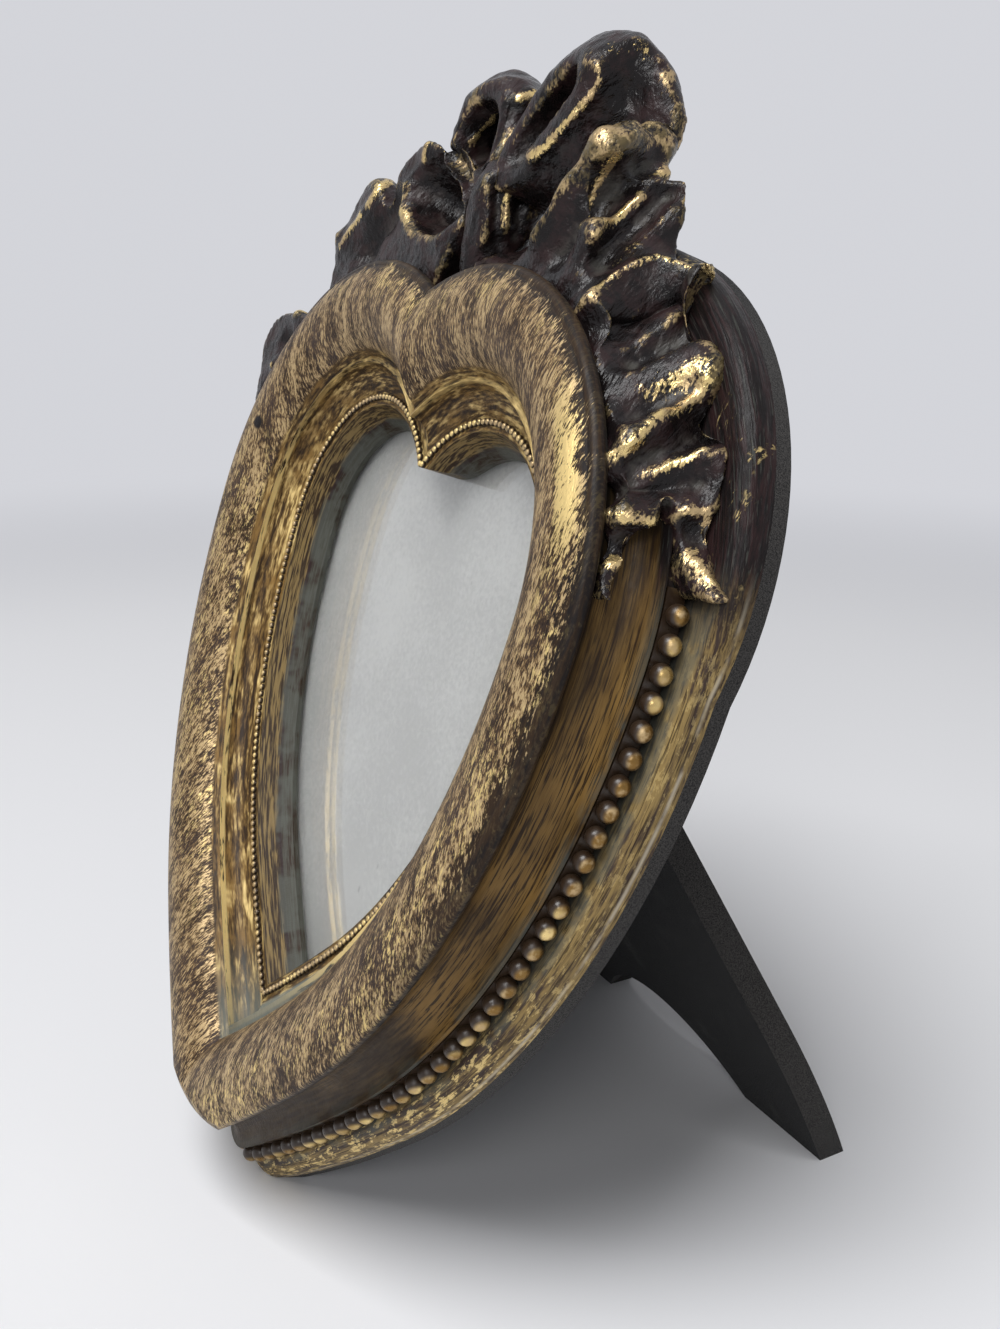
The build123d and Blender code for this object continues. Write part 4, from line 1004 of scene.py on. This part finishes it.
def remeshed(source, grain, name):
    """Mesh of a CAD solid in even small faces."""
    bm = bmesh.new()
    bm.from_mesh(source.data)
    bmesh.ops.remove_doubles(bm, verts=bm.verts, dist=WELD * MM)
    rough = mesh_from(bm, name + "_maker")
    maker = new_object(name + "_maker", rough)
    remesh = maker.modifiers.new("remesh", "REMESH")
    remesh.mode = "VOXEL"
    remesh.voxel_size = grain
    ready = maker.evaluated_get(bpy.context.evaluated_depsgraph_get())
    mesh = bpy.data.meshes.new_from_object(ready)
    mesh.name = name
    bpy.data.objects.remove(maker)
    bpy.data.meshes.remove(rough)
    return mesh


def vertex_normals(mesh, points):
    """Normals of a mesh, once its vertices are moved to the given points."""
    mesh.vertices.foreach_set("co", points.ravel())
    mesh.update()
    normals = np.empty(points.size)
    mesh.vertices.foreach_get("normal", normals)
    return normals.reshape(-1, 3)


def cast_copy(node, grain, name):
    """Mesh of a CAD solid with rounded edges and pressed folds, and masks for its finish."""
    mesh = remeshed(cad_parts[node], grain, name)
    points = np.empty(len(mesh.vertices) * 3)
    mesh.vertices.foreach_get("co", points)
    edges = np.empty(len(mesh.edges) * 2, dtype=np.int64)
    mesh.edges.foreach_get("vertices", edges)
    edges = edges.reshape(-1, 2)
    points = neighbour_mean(points.reshape(-1, 3), edges, EDGE_ROUNDS)
    normals = vertex_normals(mesh, points)
    shift, rubbed = press_folds(points, RIBBON_FOLDS[node])
    points = neighbour_mean(points + normals * (shift * MM)[:, None], edges, FOLD_ROUNDS)
    points = np.clip(points, *np.array(cad_box))
    normals = vertex_normals(mesh, points)
    proud = np.sum((points - neighbour_mean(points, edges, CREST_ROUNDS)) * normals, axis=1)
    proud = proud / grain / CREST_GRAINS
    for label, values in (("crest", proud), ("fold", -proud), ("gilt", rubbed)):
        layer = mesh.attributes.new(label, "FLOAT", "POINT")
        layer.data.foreach_set("value", np.clip(values, 0, 1).astype(np.float32))
    return mesh


class HEART_OT_bow(bpy.types.Operator):
    """Cast the ribbon bow"""

    bl_idname = "heart_frame.bow"
    bl_label = "Cast ribbon bow"

    def execute(self, context):
        material = bronze_ribbon(context.scene.heart_finishes)
        grain = context.scene.heart_sizes.casting_grain
        for node in sorted(RIBBON_FOLDS):
            name = "cast_" + node
            new_piece(name, cast_copy(node, grain, name), material, "bronze_ribbon", node)
        return {"FINISHED"}


class HEART_OT_glazing(bpy.types.Operator):
    """Finish the glass, the card and the packing"""

    bl_idname = "heart_frame.glazing"
    bl_label = "Glaze"

    def execute(self, context):
        paint = context.scene.heart_finishes
        finish_nodes(clear_glass(), "glass_pane")
        back = [place(x, z, CARD_BACK_H) for x, z in heart_outline(CARD_OUT)]
        front = [corner + FRONT * (CARD_T * MM) for corner in back]
        count = len(back)
        faces = [range(count), range(2 * count - 1, count - 1, -1)]
        for here in range(count):
            beside = (here + 1) % count
            faces.append((here, here + count, beside + count, beside))
        mesh = listed_mesh("blank_card", back + front, faces)
        card = plain_card("grey_card", paint.card, 0.5)
        new_piece("blank_card", mesh, card, "grey_card", "photo_card", smooth=False)
        finish_nodes(plain_card("packing_card", paint.board, 0.8), "filler_board")
        return {"FINISHED"}


class HEART_OT_velvet(bpy.types.Operator):
    """Cover the back and the leg in velvet"""

    bl_idname = "heart_frame.velvet"
    bl_label = "Cover in velvet"

    def execute(self, context):
        material = black_velvet(context.scene.heart_finishes)
        finish_nodes(material, "rear_velvet_ring", "back_board", "easel_leg")
        return {"FINISHED"}


class HEART_OT_hardware(bpy.types.Operator):
    """Finish the hinge, rivets, screws and turn buttons"""

    bl_idname = "heart_frame.hardware"
    bl_label = "Finish hardware"

    def execute(self, context):
        paint = context.scene.heart_finishes
        brass = hardware_metal("hinge_brass", paint.brass, paint.umber)
        steel = hardware_metal("pin_steel", paint.steel, paint.velvet_worn)
        finish_nodes(brass, "hinge_fixed_leaf", "hinge_moving_leaf")
        finish_nodes(brass, "hinge_rivets_back", "hinge_rivets_leg")
        for level in ("upper", "lower"):
            finish_nodes(brass, f"turn_button_{level}_left", f"turn_button_{level}_right")
        finish_nodes(steel, "hinge_pin", "turn_button_screws")
        return {"FINISHED"}


def soft_light(name, spot, aim, size, power):
    """Square area light."""
    lamp = bpy.data.lights.new(name, "AREA")
    lamp.size = size
    lamp.energy = power
    holder = new_object(name, lamp)
    holder.location = spot
    holder.rotation_euler = (Vector(aim) - Vector(spot)).to_track_quat("-Z", "Y").to_euler()


def stand_camera(scene, stage):
    """Camera at its place, looking along its aim."""
    lens = bpy.data.cameras.new("camera")
    lens.lens = stage.lens
    lens.sensor_width = SENSOR_WIDTH
    lens.clip_start = CLIP_START
    camera = new_object("camera", lens)
    camera.location = stage.camera_place
    camera.rotation_euler = Vector(stage.camera_aim).to_track_quat("-Z", "Y").to_euler()
    scene.camera = camera


def lay_floor(stage):
    """Pale round floor that fades into the background."""
    bm = bmesh.new()
    bmesh.ops.create_circle(bm, cap_ends=True, radius=FLOOR_RADIUS, segments=FLOOR_SEGMENTS)
    mesh = mesh_from(bm, "floor")
    floor = new_object("floor", mesh)
    material, web, shader = new_material("pale_floor", roughness=0.75, specular_ior_level=0.2)
    away = web.vector_math("LENGTH", web.place())["Value"]
    tone = web.blend(web.span(away, *FLOOR_FADE), stage.floor, stage.distance)
    web.fill(shader, base_color=tone)
    haze = web.node("ShaderNodeEmission")
    haze.inputs["Color"].default_value = stage.distance
    nodes = material.node_tree.nodes
    sweep = web.node("ShaderNodeMixShader")
    near = nodes["Principled BSDF"].outputs[0]
    web.feed_all(sweep.inputs, (web.span(away, *HAZE_FADE), near, haze.outputs[0]))
    web.feed(nodes["Material Output"].inputs[0], sweep.outputs[0])
    mesh.materials.append(material)


def light_room(scene, stage):
    """Pale background, dim light from all round, and the lamps."""
    world = bpy.data.worlds.new("studio")
    scene.world = world
    world.use_nodes = True
    web = Web(world.node_tree)
    path = web.node("ShaderNodeLightPath").outputs
    seen = web.most(path["Is Camera Ray"], path["Is Glossy Ray"], path["Is Transmission Ray"])
    back = world.node_tree.nodes["Background"]
    web.feed(back.inputs["Color"], web.blend(seen, stage.ambient, stage.distance))
    back.inputs["Strength"].default_value = 1.0
    for lamp in LAMPS:
        soft_light(*lamp)


class HEART_OT_stage(bpy.types.Operator):
    """Set up the camera, the floor and the light"""

    bl_idname = "heart_frame.stage"
    bl_label = "Set the stage"

    def execute(self, context):
        scene = context.scene
        stage = scene.heart_stage
        stand_camera(scene, stage)
        lay_floor(stage)
        light_room(scene, stage)
        scene.view_settings.view_transform = "Standard"
        return {"FINISHED"}


STEPS = (
    HEART_OT_stage,
    HEART_OT_moulding,
    HEART_OT_beading,
    HEART_OT_bow,
    HEART_OT_glazing,
    HEART_OT_velvet,
    HEART_OT_hardware,
)


class HEART_PT_panel(bpy.types.Panel):
    """Steps and settings of the heart photo frame"""

    bl_idname = "HEART_PT_panel"
    bl_label = "Heart photo frame"
    bl_space_type = "VIEW_3D"
    bl_region_type = "UI"
    bl_category = "Heart frame"

    def draw(self, context):
        for step in STEPS:
            self.layout.operator(step.bl_idname)
        for group in ("heart_sizes", "heart_finishes", "heart_stage"):
            settings = getattr(context.scene, group)
            for name in settings.__annotations__:
                self.layout.prop(settings, name)


GROUPS = {"heart_finishes": FrameFinishes, "heart_sizes": FrameSizes, "heart_stage": FrameStage}


def register():
    for kind in (*GROUPS.values(), *STEPS, HEART_PT_panel):
        bpy.utils.register_class(kind)
    for name, kind in GROUPS.items():
        setattr(bpy.types.Scene, name, bpy.props.PointerProperty(type=kind))


def unregister():
    for name in GROUPS:
        delattr(bpy.types.Scene, name)
    for kind in reversed((*GROUPS.values(), *STEPS, HEART_PT_panel)):
        bpy.utils.unregister_class(kind)


def main():
    register()
    bpy.ops.heart_frame.stage()
    bpy.ops.heart_frame.moulding()
    bpy.ops.heart_frame.beading()
    bpy.ops.heart_frame.bow()
    bpy.ops.heart_frame.glazing()
    bpy.ops.heart_frame.velvet()
    bpy.ops.heart_frame.hardware()


if __name__ == "__main__":
    main()
